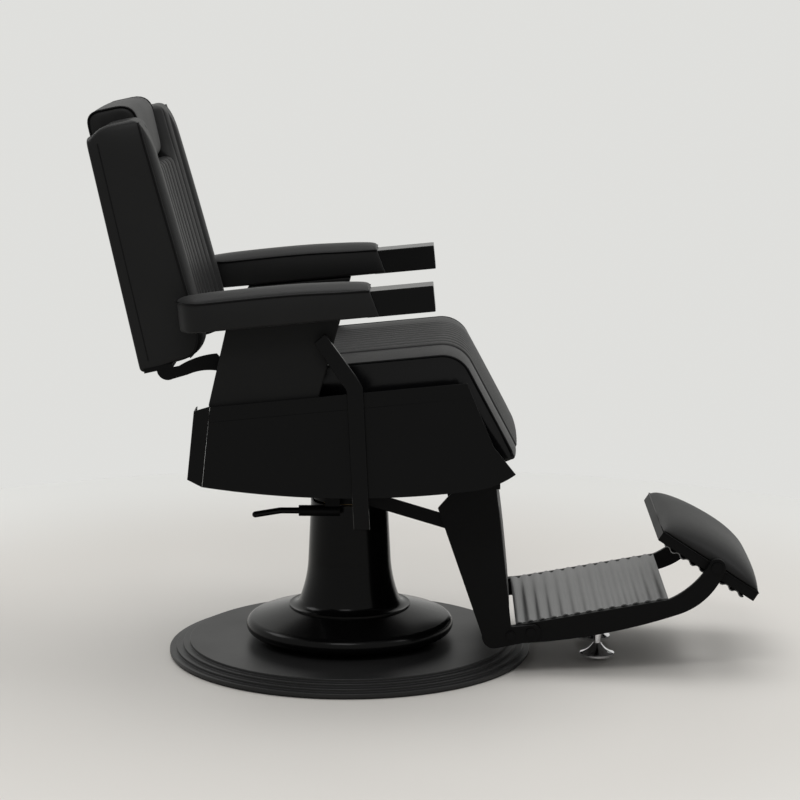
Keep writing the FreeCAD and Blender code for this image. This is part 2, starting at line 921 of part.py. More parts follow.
def make_seat_board():
    """The board that the cushion is built on."""
    length = (size.skirt_front - size.seat_rear) / cosine(size.seat_tilt)
    thickness = size.seat_board_thickness * cosine(size.seat_tilt)
    keep(block("seat_board", length, size.seat_half_width * 2, thickness,
               size.seat_rear, -size.seat_half_width, seat_height(board_underside, size.seat_rear),
               -size.seat_tilt))


def channel_row(channels, middle_rise, edge_rise):
    """Across the width, the rounded channels sewn into a cushion: corners (y, rise, via)."""
    pitch = float(size.channel_pitch)
    edge = channels * pitch / 2

    def rise(y):
        return middle_rise + (edge_rise - middle_rise) * (y / edge) ** 2

    row = []
    for index in range(channels):
        start = -edge + index * pitch
        top = start + pitch / 2
        row.append((start, rise(start), (top, rise(top) + float(size.channel_rise))))
    row.append((edge, rise(edge)))
    return row


def cross_face(corners, origin, across, outward):
    """A face from corners (y, rise, via) that stands at a point and faces along the piece."""
    def point(corner):
        return origin + across * float(corner[0]) + outward * float(corner[1])

    edges = []
    for corner, after in zip(corners, corners[1:] + corners[:1]):
        if len(corner) == 3:
            edges.append(Part.Arc(point(corner), point(corner[2]), point(after)).toShape())
        else:
            edges.append(Part.makeLine(point(corner), point(after)))
    return Part.Face(Part.Wire(edges))


def make_seat_cushion():
    """A channelled top that rolls over the front edge into an apron, on a drawn-in foam block."""
    tilt = math.radians(float(size.seat_tilt))
    apron = math.radians(float(size.apron_angle))
    bend = float(size.seat_bend_radius)
    half = float(size.seat_half_width)
    skin = float(size.seat_skin)
    draw = float(size.seat_draw)
    crown = float(size.seat_crown)
    edge = float(size.channel_count * size.channel_pitch) / 2
    border = (half + edge) / 2

    row = channel_row(count(size.channel_count), crown + float(size.channel_rise), crown)
    section = [
        (-half + draw, -skin, (-half + draw / 3, -skin / 2)),
        (-half, 0, (-border, crown * 0.8)),
        *row[:-1],
        (edge, crown, (border, crown * 0.8)),
        (half, 0, (half - draw / 3, -skin / 2)),
        (half - draw, -skin),
    ]
    along = Vector(math.cos(tilt), 0, math.sin(tilt))
    upward = Vector(-math.sin(tilt), 0, math.cos(tilt))
    down = Vector(math.cos(apron), 0, -math.sin(apron))
    forward = Vector(math.sin(apron), 0, math.cos(apron))
    corner = Vector(float(size.seat_corner), 0, float(seat_height(seat_seam, size.seat_corner)))
    rear = Vector(float(size.seat_rear), 0, float(seat_height(seat_seam, size.seat_rear)))
    setback = bend * math.tan((tilt + apron) / 2)
    bend_start = corner - along * setback
    bend_end = corner + down * setback
    bend_middle = bend_start - upward * bend
    across = Vector(0, 1, 0)

    top = cross_face(section, rear, across, upward).extrude(bend_start - rear)
    roll = cross_face(section, bend_start, across, upward).revolve(
        bend_middle, across, math.degrees(tilt + apron))
    fall = down * (float(size.apron_length) - setback)
    front = cross_face(section, bend_end, across, forward).extrude(fall)

    inset = skin / 2
    apron_end = corner + down * float(size.apron_length)
    apron_inner = apron_end - forward * skin
    gap = float(size.soft_gap)
    board_front = float(size.skirt_front)
    core = [
        (rear.x, float(seat_height(board_topside, rear.x)) + gap),
        (rear.x, rear.z - inset),
        ((bend_start - upward * inset).x, (bend_start - upward * inset).z),
        ((bend_end - forward * inset).x, (bend_end - forward * inset).z),
        ((apron_end - forward * inset).x, (apron_end - forward * inset).z),
        (apron_inner.x, apron_inner.z),
        (board_front + gap, float(seat_height(board_topside, board_front)) + gap),
    ]
    foam = side_prism(core, half - draw)
    keep(shaped("seat_cushion", top.multiFuse([roll, front, foam]).removeSplitter()))


def make_skirts():
    """The sheet skirts at both sides, with a pressed band under the top edge, and the rear panel."""
    top_rear = (skirt_rear, seat_height(size.skirt_top, skirt_rear))
    top_front = (size.skirt_front, seat_height(size.skirt_top, size.skirt_front))
    knee_x = size.skirt_nose - size.skirt_knee_back
    knee_z = size.skirt_nose_height + size.skirt_knee_rise
    belly_x = (size.skirt_nose + skirt_rear) / 2
    toe_x = size.skirt_nose - size.skirt_toe
    toe_z = size.skirt_bottom + size.skirt_toe_rise
    toe_mid_x = (size.skirt_nose + toe_x) / 2
    toe_mid_z = (size.skirt_nose_height + toe_z) / 2 - size.skirt_toe_sag
    corners = [
        top_rear,
        top_front,
        (knee_x, knee_z),
        (size.skirt_nose, size.skirt_nose_height, (toe_mid_x, toe_mid_z)),
        (toe_x, toe_z, (belly_x, size.skirt_bottom)),
        (skirt_rear_low, skirt_rear_low_z),
    ]
    middle = (skirt_inner + skirt_outer) / 2
    band_low = size.skirt_top - size.skirt_band
    for name, sign in SIDES.items():
        skirt = plate(f"skirt_{name}", corners, size.skirt_thickness, middle * sign)
        volume = recomputed(skirt).Shape.Volume
        band = outline(skirt, "band", "XZ_Plane", [
            (top_rear[0] - size.skirt_band, top_rear[1] + size.skirt_band),
            (top_front[0] + size.skirt_band, top_front[1] + size.skirt_band),
            (size.skirt_nose, seat_height(band_low, size.skirt_nose)),
            (skirt_rear - size.skirt_band, seat_height(band_low, skirt_rear - size.skirt_band)),
        ])
        # The band is pressed into the outer face only
        band.AttachmentOffset = Placement(Vector(0, 0, 0), Rotation())
        face_offset = size.skirt_thickness / 2 - size.skirt_band_depth
        bind(band, "AttachmentOffset.Base.z", face_offset * -sign)
        pocket = skirt.newObject("PartDesign::Pocket", f"skirt_{name}_pocket")
        pocket.Profile = band
        pocket.Reversed = sign < 0
        bind(pocket, "Length", size.skirt_thickness)
        must_cut(skirt, volume)
        keep(skirt)

    panel = doc.addObject("PartDesign::Body", "rear_panel")
    flange = size.rear_panel_flange
    wall = size.rear_panel_wall
    pad(panel, outline(panel, "plan", "XY_Plane", [
        (0, -skirt_outer),
        (flange, -skirt_outer),
        (flange, wall - skirt_outer),
        (wall, wall - skirt_outer),
        (wall, skirt_outer - wall),
        (flange, skirt_outer - wall),
        (flange, skirt_outer),
        (0, skirt_outer),
    ]), size.rear_panel_height, symmetric=False)
    # The back's hinge arms swing down through a notch in the top edge
    notch_low = size.rear_panel_height - size.rear_notch_depth
    notch_high = size.rear_panel_height + size.rear_notch_depth
    notch_half = back_arm_outer + size.arm_gap * 2
    volume = recomputed(panel).Shape.Volume
    notch = outline(panel, "notch", "YZ_Plane", [
        (-notch_half, notch_low),
        (notch_half, notch_low),
        (notch_half, notch_high),
        (-notch_half, notch_high),
    ])
    pocket = panel.newObject("PartDesign::Pocket", "rear_panel_notch_cut")
    pocket.Profile = notch
    pocket.SideType = "Symmetric"
    bind(pocket, "Length", flange)
    must_cut(panel, volume)
    # Its top and foot slope up to the skirts' edges
    top = size.rear_panel_height
    slopes = {
        "top": [(flange, top), (-flange, top), (-flange, top - size.rear_panel_top_fall * 2)],
        "foot": [(flange, 0), (-flange, size.rear_panel_foot_rise * 2), (-flange, 0)],
    }
    for name, corners in slopes.items():
        volume = recomputed(panel).Shape.Volume
        slope_cut = panel.newObject("PartDesign::Pocket", f"rear_panel_{name}_cut")
        slope_cut.Profile = outline(panel, f"{name}_slope", "XZ_Plane", corners)
        slope_cut.SideType = "Symmetric"
        bind(slope_cut, "Length", skirt_outer * 3)
        must_cut(panel, volume)
    keep(place(panel, size.rear_panel_low_x, 0, size.rear_panel_low_z, angle=size.rear_panel_lean))


def recomputed(piece):
    doc.recompute()
    return piece


def must_cut(body, volume):
    """Stops where a pocket has taken nothing away."""
    if recomputed(body).Shape.Volume > volume - 1:
        raise ValueError(f"a pocket in {body.Label} cuts nothing")


def make_arm_rests():
    """Arm panels that stand on the side plates, and the padded arms on top with their bare front bars."""
    rear_top = arm_point(size.panel_rear_top, 0)
    front_top = arm_point(size.panel_front_top, 0)
    front_low_z = size.panel_shoulder + size.tube_width / 2
    panel = [
        rear_top,
        (size.panel_rear_low, size.panel_shoulder),
        (size.back_pivot_x - size.back_arm_depth, size.panel_foot),
        (size.panel_front_low - size.pivot_collar, size.panel_foot),
        (size.panel_front_low, front_low_z),
        front_top,
    ]
    panel_middle = (side_outer + panel_outer) / 2
    bar_length = size.arm_bar_end - size.arm_bar_root
    tongue_length = size.arm_bar_root - size.tongue_start
    screws = []
    for name, sign in SIDES.items():
        middle = arm_middle * sign
        keep(plate(f"arm_panel_{name}", panel, size.panel_thickness, panel_middle * sign))
        root_x, root_z = arm_point(size.arm_bar_root, 0)
        tongue_x, tongue_z = arm_point(size.tongue_start, 0)
        keep(joined(f"arm_bar_{name}", [
            block(f"arm_bar_{name}_end", bar_length, size.arm_bar_width, size.arm_bar_height,
                  root_x, middle - size.arm_bar_width / 2, root_z, -size.arm_tilt),
            block(f"arm_bar_{name}_tongue", tongue_length, size.tongue_width, size.tongue_height,
                  tongue_x, middle - size.tongue_width / 2, tongue_z, -size.arm_tilt),
        ]))
        for index in range(count(size.arm_screw_count)):
            along = size.arm_screw_first + size.arm_screw_pitch * index
            x, z = arm_point(along, -size.arm_screw_height)
            screw = rod(f"arm_screw_{name}_{index + 1}", size.arm_screw_radius, size.arm_screw_height,
                        x, middle, z, "z")
            screws.append(place(screw, x, middle, z, angle=-size.arm_tilt))
        keep(shaped(f"arm_pad_{name}", arm_pad_solid(), 0, middle, size.arm_base, -size.arm_tilt))
    keep(group("arm_screws", screws))


def arm_pad_solid():
    """A crowned pad with a round rear end, hollowed underneath for the arm bar."""
    rear = float(size.arm_pad_rear)
    front = float(size.arm_pad_front)
    rake = float(size.arm_pad_rake)
    height = float(size.arm_pad_height)
    crown = float(size.arm_pad_crown)
    half = float(size.arm_pad_half_width)
    gap = float(size.soft_gap)

    def profile(fullness):
        inset = float(size.arm_pad_draw) * (1 - fullness)
        top = height + crown * (fullness - 0.5) / 0.5 if fullness > 0.5 else height
        draw = half * 0.55 * (1 - fullness)
        base = height * 0.12 * (1 - fullness)
        return [
            (rear + draw + height * 0.3, base),
            (front - inset, base),
            (front - rake - inset, top - crown * 0.35, ((rear + front) / 2, top)),
            (rear + draw + height * 0.3, top - crown * 0.5, (rear + draw, (top + base) / 2)),
        ]

    bar = solid_box(
        (size.arm_bar_root - gap, -size.arm_bar_width / 2 - gap, -height),
        (size.arm_bar_end, size.arm_bar_width / 2 + gap, size.arm_bar_height + gap))
    tongue = solid_box(
        (size.tongue_start - gap, -size.tongue_width / 2 - gap, -height),
        (size.arm_bar_end, size.tongue_width / 2 + gap, size.tongue_height + gap))
    return pillow(profile, half).cut(bar).cut(tongue)


def make_levers():
    """The pump lever outside the right skirt with its shaft and hanger, and the release under the seat."""
    half = size.lever_width / 2
    left = size.lever_x - half
    right = size.lever_x + half
    tip = size.lever_tip_width / 2
    bend_left = left - size.lever_slant
    bend_right = right - size.lever_slant
    run = (bend_left - size.lever_top_x) / 4
    bend_high = lever_bend + run
    bend_low = lever_bend - run
    lever = [
        (left, size.lever_bottom),
        (right, size.lever_bottom),
        (bend_right, lever_bend, (bend_right - run / 2, bend_high)),
        (bend_right - run * 1.5, bend_high + run * 1.5),
        (size.lever_top_x + tip * 0.75, lever_top_z + tip * 0.65),
        (size.lever_top_x - tip * 0.75, lever_top_z - tip * 0.65),
        (bend_left - run / 2, lever_bend + run / 4, (bend_left - run / 8, lever_bend - run / 3)),
        (bend_left, bend_low),
    ]
    keep(plate("pump_lever", lever, size.lever_thickness, -lever_inner - size.lever_thickness / 2))
    shaft_z = size.lever_bottom + size.lever_shaft_rise
    shaft_end = size.lever_shaft_end + size.soft_gap
    keep(rod("pump_lever_shaft", size.lever_shaft_radius, lever_inner - shaft_end,
             size.lever_x, -lever_inner, shaft_z))
    hanger_half = size.hanger_width / 2
    hanger_top = shaft_z + size.hanger_height
    hanger_low = shaft_z - hanger_half
    hanger = [
        (size.lever_x - hanger_half, shaft_z, (size.lever_x, hanger_low)),
        (size.lever_x + hanger_half, shaft_z),
        (size.lever_x + hanger_half, hanger_top),
        (size.lever_x - hanger_half, hanger_top),
    ]
    shaft_hole = (size.lever_x, shaft_z, size.lever_shaft_radius + size.running_fit)
    hanger_y = -side_outer - size.hanger_thickness / 2
    keep(plate("lever_hanger", hanger, size.hanger_thickness, hanger_y, [shaft_hole]))

    length = size.release_front - size.release_rear
    tube = rod("release_tube_blank", size.release_radius, length,
               size.release_rear, size.release_y, size.release_z, "x")
    saddle_x = size.release_front - size.saddle_length
    saddle_y = size.release_y - size.release_radius / 2
    outer_wall = block("release_saddle_wall", size.saddle_length, size.release_radius, size.saddle_height,
                       saddle_x, saddle_y, size.release_z)
    reach_z = hub_base + size.washer_height
    reach_height = size.release_z + size.saddle_height - reach_z
    reach = block("release_saddle_reach", size.saddle_length, -size.release_y, reach_height,
                  saddle_x, saddle_y, reach_z)
    hub = rod("release_saddle_hub", size.hub_radius, size.hub_height, 0, 0, hub_base, "z")
    saddle = less("release_saddle", joined("release_saddle_blank", [outer_wall, reach]), hub)
    bracket = joined("release_bracket_blank", [tube, saddle])
    bore = rod("release_tube_bore", size.release_bore, length,
               size.release_rear, size.release_y, size.release_z, "x")
    keep(less("release_bracket", bracket, bore))

    rod_radius = size.release_bore - size.running_fit
    inner_end = size.release_rear + size.release_rod_inset
    fall = size.release_z - size.release_tip_z
    reach_back = size.release_bend - size.release_tip_x
    angle = math.degrees(math.atan2(float(reach_back), float(fall)))
    handle_length = math.hypot(float(reach_back), float(fall))
    handle = doc.addObject("Part::Cylinder", "release_lever_handle")
    bind(handle, "Radius", rod_radius)
    bind(handle, "Height", handle_length)
    handle.Placement = Placement(
        Vector(float(size.release_bend), float(size.release_y), float(size.release_z)),
        Rotation(Vector(0, 1, 0), 180 + angle))
    balls = []
    bends = [
        ("elbow", size.release_bend, size.release_z),
        ("tip", size.release_tip_x, size.release_tip_z),
    ]
    for name, x, z in bends:
        ball = doc.addObject("Part::Sphere", f"release_lever_{name}")
        bind(ball, "Radius", rod_radius)
        balls.append(place(ball, x, size.release_y, z))
    shank = rod("release_lever_shank", rod_radius, inner_end - size.release_bend,
                size.release_bend, size.release_y, size.release_z, "x")
    keep(joined("release_lever", [shank, handle] + balls))


def make_gas_spring():
    """The lockable gas spring that holds the back: a body and a rod with a slotted eye."""
    z = size.back_pivot_z - size.gas_drop
    length = size.gas_front - size.gas_rear
    barrel = rod("gas_spring_barrel", size.gas_radius, length, size.gas_rear, size.gas_y, z, "x")
    lug = block("gas_spring_lug", size.gas_lug, size.gas_lug, tube_base - z,
                size.gas_front - size.gas_lug, size.gas_y - size.gas_lug / 2, z)
    bore_radius = size.gas_rod_radius + size.running_fit
    bore = rod("gas_spring_bore", bore_radius, size.gas_stroke + size.gas_rod_inset,
               size.gas_rear, size.gas_y, z, "x")
    keep(less("gas_spring_body", joined("gas_spring_blank", [barrel, lug]), bore))

    eye = [
        (rear_pin_x - size.gas_eye_half_length, z - size.gas_eye_half_height),
        (rear_pin_x + size.gas_eye_half_length, z - size.gas_eye_half_height),
        (rear_pin_x + size.gas_eye_half_length, z + size.gas_eye_half_height),
        (rear_pin_x - size.gas_eye_half_length, z + size.gas_eye_half_height),
    ]
    slot = [
        (rear_pin_x - size.gas_slot_half_length, z - size.gas_slot_half_height),
        (rear_pin_x + size.gas_slot_half_length, z - size.gas_slot_half_height),
        (rear_pin_x + size.gas_slot_half_length, z + size.gas_slot_half_height),
        (rear_pin_x - size.gas_slot_half_length, z + size.gas_slot_half_height),
    ]
    eye_plate = less("gas_rod_eye",
                     plate("gas_rod_eye_blank", eye, size.gas_eye_thickness, size.gas_y),
                     plate("gas_rod_eye_slot", slot, size.gas_eye_thickness * 2, size.gas_y))
    rod_start = rear_pin_x + size.gas_slot_half_length
    stem = rod("gas_rod_stem", size.gas_rod_radius, size.gas_rear + size.gas_rod_inset - rod_start,
               rod_start, size.gas_y, z, "x")
    keep(joined("gas_spring_rod", [eye_plate, stem]))


def make_back_frame():
    """The arched hinge arms with their link cranks, the rail under the back and the crank rod."""
    depth = size.back_arm_depth
    boss = depth * 0.62
    eye = size.link_depth / 2
    pivot_x = size.back_pivot_x
    pivot_z = size.back_pivot_z
    under_rail = -size.rail_depth
    top_rear = back_point(size.back_rear + depth * 0.95, under_rail)
    top_front = back_point(size.back_corner * 0.8, under_rail)
    arch = back_point(depth * 1.82, 0)
    arch_end = back_point(depth * 3.03, 0)
    low_front = back_point(depth * 2.8, -depth * 0.9)
    low_arch = back_point(depth * 2, -depth * 0.74)
    low_middle = back_point(depth * 1.2, -depth * 0.8)
    low_rear = back_point(depth * 0.36, -depth * 0.86)
    tip = back_point(-depth * 0.24, -depth * 0.7)
    arm = [
        top_rear,
        (*top_front, arch),
        arch_end,
        (pivot_x + boss * 0.75, pivot_z + boss * 0.7, (pivot_x + boss, pivot_z - boss * 0.1)),
        (pivot_x + boss * 0.6, pivot_z - boss * 0.85),
        (rear_pin_x + eye, rear_pin_z - eye * 0.3, (rear_pin_x, rear_pin_z - eye)),
        (rear_pin_x - eye, rear_pin_z + eye * 0.3),
        (pivot_x - boss * 0.9, pivot_z - boss * 0.4),
        (*low_front, low_arch),
        low_middle,
        (*low_rear, tip),
    ]
    holes = [
        (pivot_x, pivot_z, size.pivot_radius + size.running_fit),
        (rear_pin_x, rear_pin_z, size.link_pin_radius),
    ]
    middle = (back_arm_inner + back_arm_outer) / 2
    for name, sign in SIDES.items():
        keep(plate(f"back_arm_{name}", arm, size.back_arm_thickness, middle * sign, holes))
    rail_x, rail_z = back_point(size.back_rear + size.back_panel_thickness, under_rail)
    rail = block("back_rail", size.rail_width, back_arm_outer * 2, size.rail_depth,
                 rail_x, -back_arm_outer, rail_z, -size.back_lean)
    crank_rod = rod("crank_rod", size.link_pin_radius, back_arm_outer * 2,
                    rear_pin_x, -back_arm_outer, rear_pin_z)
    keep(group("back_rails", [rail, crank_rod]))


def leaned(label, solid):
    """A piece drawn upright with the back, leaned into place."""
    return shaped(label, solid, size.back_x, 0, size.back_z, -size.back_lean)


def back_section():
    """Across the back's front: full bolsters at both sides of a hollow middle with sewn channels."""
    half = float(size.back_half_width)
    hollow = float(size.back_hollow)
    bolster = float(size.back_bolster)
    hollow_edge = float(size.back_hollow_edge)
    edge = float(size.back_channel_count * size.channel_pitch) / 2
    row = channel_row(count(size.back_channel_count), -hollow, hollow_edge)
    crest = (half + edge) / 2
    depth = -float(size.back_height)
    return [
        (-half + float(size.seat_draw), depth),
        (-half, 0, (-crest, bolster)),
        *row[:-1],
        (edge, hollow_edge, (crest, bolster)),
        (half, 0),
        (half - float(size.seat_draw), depth),
    ]


def make_back_cushion():
    """The channelled back cushion with bolsters and a notch for the head rest."""
    taper = math.radians(float(size.back_taper))
    height = float(size.back_height)
    seam = float(size.back_seam_low)
    corner = float(size.back_corner)
    gap = float(size.soft_gap)
    rear = float(size.back_rear + size.back_panel_thickness) + gap
    up = Vector(-math.sin(taper), 0, math.cos(taper))
    out = Vector(math.cos(taper), 0, math.sin(taper))
    start = Vector(seam, 0, 0) - up * height
    length = up * (height * 3)
    full = cross_face(back_section(), start, Vector(0, 1, 0), out).extrude(length)
    front = seam + float(size.back_bolster)
    crest = front - height * math.tan(taper)
    round_height = float(size.back_round_height)
    round_depth = float(size.back_round_depth)
    rear_round = float(size.back_rear_round)
    round_start = height - round_height
    sides = [
        (rear, gap),
        (corner, gap, (seam - corner * 0.35, corner * 0.32)),
        (front, corner * 1.6),
        (front, round_start),
        (front - round_start * math.tan(taper), round_start,
         (crest - round_depth * 0.3, height - round_height * 0.22)),
        (crest - round_depth, height),
        (rear + rear_round, height, (rear + rear_round * 0.3, height - rear_round * 0.3)),
        (rear, height - rear_round),
    ]
    notch = solid_box(
        (-height, -size.notch_half_width, size.notch_floor), (height, size.notch_half_width, height * 2))
    board_front = rear + float(size.back_board_thickness) + gap
    board = solid_box(
        (-height, -size.back_board_half_width - gap, -height),
        (board_front, size.back_board_half_width + gap, size.back_board_height + gap))
    sleeve_front = board_front + float(size.post_thickness + size.sleeve_wall * 2) + gap
    sleeve_half = float(size.post_width / 2 + size.sleeve_wall) + gap
    sleeve = solid_box(
        (-height, -sleeve_half, float(size.sleeve_foot) - gap), (sleeve_front, sleeve_half, height * 2))
    cushion = full.common(side_prism(sides, size.back_half_width * 2)).cut(notch).cut(board).cut(sleeve)
    keep(leaned("back_cushion", cushion.removeSplitter()))


def make_back_shell():
    """The rear panel, the board behind the foam and the sleeve for the head rest post."""
    panel = doc.addObject("PartDesign::Body", "back_rear_panel")
    half = size.back_half_width - size.back_panel_inset
    foot = size.back_panel_inset
    top = size.back_height - size.back_panel_inset
    pad(panel, outline(panel, "outline", "YZ_Plane", [
        (-half, foot),
        (half, foot),
        (half, top),
        (size.notch_half_width, top),
        (size.notch_half_width, size.notch_floor),
        (-size.notch_half_width, size.notch_floor),
        (-size.notch_half_width, top),
        (-half, top),
    ]), size.back_panel_thickness, symmetric=False)
    panel_x, panel_z = back_point(size.back_rear, 0)
    keep(place(panel, panel_x, 0, panel_z, angle=-size.back_lean))

    board_depth = size.back_rear + size.back_panel_thickness
    board_x, board_z = back_point(board_depth, 0)
    board_width = size.back_board_half_width * 2
    keep(block("back_board", size.back_board_thickness, board_width, size.back_board_height,
               board_x, -size.back_board_half_width, board_z, -size.back_lean))

    sleeve_depth = board_depth + size.back_board_thickness
    sleeve_length = size.notch_floor - size.sleeve_foot
    wall = size.sleeve_wall
    fit = size.running_fit
    outer_x, outer_z = back_point(sleeve_depth, size.sleeve_foot)
    inner_x, inner_z = back_point(sleeve_depth + wall - fit, size.sleeve_foot)
    outer_width = size.post_width + wall * 2
    inner_width = size.post_width + fit * 2
    outer = block("headrest_sleeve_outer", size.post_thickness + wall * 2, outer_width, sleeve_length,
                  outer_x, -outer_width / 2, outer_z, -size.back_lean)
    inner = block("headrest_sleeve_inner", size.post_thickness + fit * 2, inner_width, sleeve_length,
                  inner_x, -inner_width / 2, inner_z, -size.back_lean)
    keep(less("headrest_sleeve", outer, inner))


def make_head_rest():
    """The head rest pad in the back's notch, its board, and the flat post that slides in the sleeve."""
    post_depth = size.back_rear + size.back_panel_thickness + size.back_board_thickness + size.sleeve_wall
    head_floor = size.notch_floor + size.head_floor_gap
    post_x, post_z = back_point(post_depth, size.post_foot)
    post_top = head_floor + size.post_grip
    keep(block("headrest_post", size.post_thickness, size.post_width, post_top - size.post_foot,
               post_x, -size.post_width / 2, post_z, -size.back_lean))
    board_depth = post_depth - size.head_board_thickness
    board_foot = head_floor + size.head_floor_gap * 2
    board_x, board_z = back_point(board_depth, board_foot)
    board_width = size.head_board_half_width * 2
    keep(block("headrest_board", size.head_board_thickness, board_width, size.head_board_height,
               board_x, -size.head_board_half_width, board_z, -size.back_lean))

    floor = float(head_floor)
    top = floor + float(size.head_height)
    rear = float(size.back_rear)
    taper = math.tan(math.radians(float(size.back_taper)))
    seam = float(size.back_seam_low) - floor * taper - float(size.head_setback)
    crown = float(size.head_crown)
    bow = float(size.head_bow)
    round_off = float(size.back_corner)

    def profile(fullness):
        front = seam + crown * fullness
        lift = float(size.head_draw) * (1 - fullness)
        back = rear + float(size.head_rear_draw) * (1 - fullness)
        return [
            (back, floor + lift),
            (front - round_off, floor + lift, (front - round_off * 0.25, floor + lift + round_off * 0.2)),
            (front - bow / 4, floor + round_off + lift, (front, (floor + top) / 2)),
            (front - bow, top - round_off, (front - round_off * 0.35, top - round_off * 0.3 - lift)),
            (front - round_off * 1.2, top - lift),
            (back + round_off * 0.6, top - lift, (back + round_off * 0.15, top - lift - round_off * 0.2)),
            (back, top - round_off * 0.8 - lift),
        ]

    gap = float(size.soft_gap)
    board = solid_box(
        (board_depth - gap, -size.head_board_half_width - gap, board_foot - gap),
        (post_depth + gap, size.head_board_half_width + gap, board_foot + size.head_board_height + gap))
    post = solid_box(
        (post_depth - gap, -size.post_width / 2 - gap, 0),
        (post_depth + size.post_thickness + gap, size.post_width / 2 + gap, post_top + gap))
    keep(leaned("headrest_pad", pillow(profile, size.head_half_width).cut(board).cut(post)))


def make_leg_rest():
    """The leg plates that hang from the front pivots, with the calf board and pad between them."""
    boss = size.leg_boss_radius
    leg = [
        (size.leg_link_corner_x, size.leg_link_corner_z),
        (size.leg_rear_low_x, size.leg_rear_low_z,
         (size.leg_rear_low_x + boss * 0.25, size.leg_foot_z + boss * 0.3)),
        (size.leg_foot_x, size.leg_foot_z),
        (size.toe_x - boss * 0.5, size.toe_low_z - boss * 0.1,
         (size.toe_x, (size.toe_low_z + size.toe_high_z) / 2)),
        (size.toe_x - boss * 0.5, size.toe_high_z + boss * 0.05),
        (size.leg_front_low_x, size.leg_front_low_z),
        (size.leg_front_top_x, size.leg_front_top_z),
        (size.leg_pivot_x + boss, size.leg_pivot_z, (size.leg_pivot_x, size.leg_pivot_z + boss)),
        (size.leg_pivot_x - boss, size.leg_pivot_z),
    ]
    holes = [
        (size.leg_pivot_x, size.leg_pivot_z, size.pivot_radius + size.running_fit),
        (front_pin_x, front_pin_z, size.link_pin_radius),
    ]
    middle = (leg_inner + size.leg_half_width) / 2
    plates = []
    bolts = []
    link_inner = link_outer - size.link_thickness
    for name, sign in SIDES.items():
        plates.append(plate(f"leg_plate_{name}", leg, size.leg_plate_thickness, middle * sign, holes))
        start = link_inner if sign > 0 else -size.leg_half_width
        bolts.append(rod(f"link_pin_{name}", size.link_pin_radius, size.leg_half_width - link_inner,
                         front_pin_x, start, front_pin_z))
        start = size.leg_half_width if sign > 0 else -size.leg_half_width - size.toe_bolt_height
        for index, x in enumerate((size.toe_bolt_rear, size.toe_bolt_front)):
            bolts.append(rod(f"toe_bolt_{name}_{index + 1}", size.toe_bolt_radius, size.toe_bolt_height,
                             x, start, size.toe_bolt_z + size.toe_bolt_pitch_rise * index))
    keep(group("leg_plates", plates))
    keep(group("leg_bolts", bolts))


def make_calf():
    """The board between the leg plates and the crowned pad on its front."""
    keep(block("calf_board", size.calf_board_thickness, leg_inner * 2, size.calf_height,
               size.calf_low_x - size.calf_board_thickness, -leg_inner, size.calf_low_z, size.calf_lean))
    height = float(size.calf_height)
    thick = float(size.calf_pad_thickness)
    crown = float(size.calf_crown)

    def profile(fullness):
        front = thick + crown * fullness
        inset = float(size.calf_draw) * (1 - fullness)
        return [
            (0, inset),
            (front * 0.5, inset, (front * 0.85, inset + thick * 0.2)),
            (front, thick + inset, (front + float(size.calf_bulge), height * 0.5)),
            (front, height - thick - inset, (front * 0.85, height - thick * 0.2 - inset)),
            (front * 0.5, height - inset),
            (0, height - inset),
        ]

    front_x = size.calf_low_x + size.soft_gap
    padding = pillow(profile, leg_inner - size.calf_gap)
    keep(shaped("calf_pad", padding, front_x, 0, size.calf_low_z, size.calf_lean))


def make_links():
    """The two bars that carry the back's movement to the leg rest, side by side under the seat."""
    half = size.link_depth / 2
    run_x = front_pin_x - rear_pin_x
    run_z = front_pin_z - rear_pin_z
    length = Dim(math.hypot(float(run_x), float(run_z)), f"hypot({run_x.formula}; {run_z.formula})")
    side_x = -run_z / length * half
    side_z = run_x / length * half
    end_x = run_x / length * half
    end_z = run_z / length * half
    bar = [
        (rear_pin_x - side_x, rear_pin_z - side_z),
        (front_pin_x - side_x, front_pin_z - side_z, (front_pin_x + end_x, front_pin_z + end_z)),
        (front_pin_x + side_x, front_pin_z + side_z),
        (rear_pin_x + side_x, rear_pin_z + side_z, (rear_pin_x - end_x, rear_pin_z - end_z)),
    ]
    bore = size.link_pin_radius + size.running_fit
    holes = [(rear_pin_x, rear_pin_z, bore), (front_pin_x, front_pin_z, bore)]
    middle = link_outer - size.link_thickness / 2
    keep(group("link_bars", [
        plate(f"link_bar_{name}", bar, size.link_thickness, middle * sign, holes)
        for name, sign in SIDES.items()
    ]))


def corrugated(ribs, pitch, height, wall, half_width):
    """A wavy sheet: ribs across the foot rest, each an arc up and an arc down."""
    ribs = count(ribs)
    pitch = float(pitch)
    height = float(height)
    wall = float(wall)

    def wave(level):
        points = []
        for index in range(ribs):
            start = index * pitch
            points.append((start, level + height / 2, (start + pitch / 4, level + height)))
            points.append((start + pitch / 2, level + height / 2, (start + pitch * 0.75, level)))
        return points

    upper = wave(wall)
    lower = []
    for start, level, via in wave(0):
        lower.append((start + pitch / 2, level, via))
    end = ribs * pitch
    corners = upper + [(end, wall + height / 2)]
    corners += lower[::-1] + [(0, height / 2)]
    return side_prism(corners, half_width)


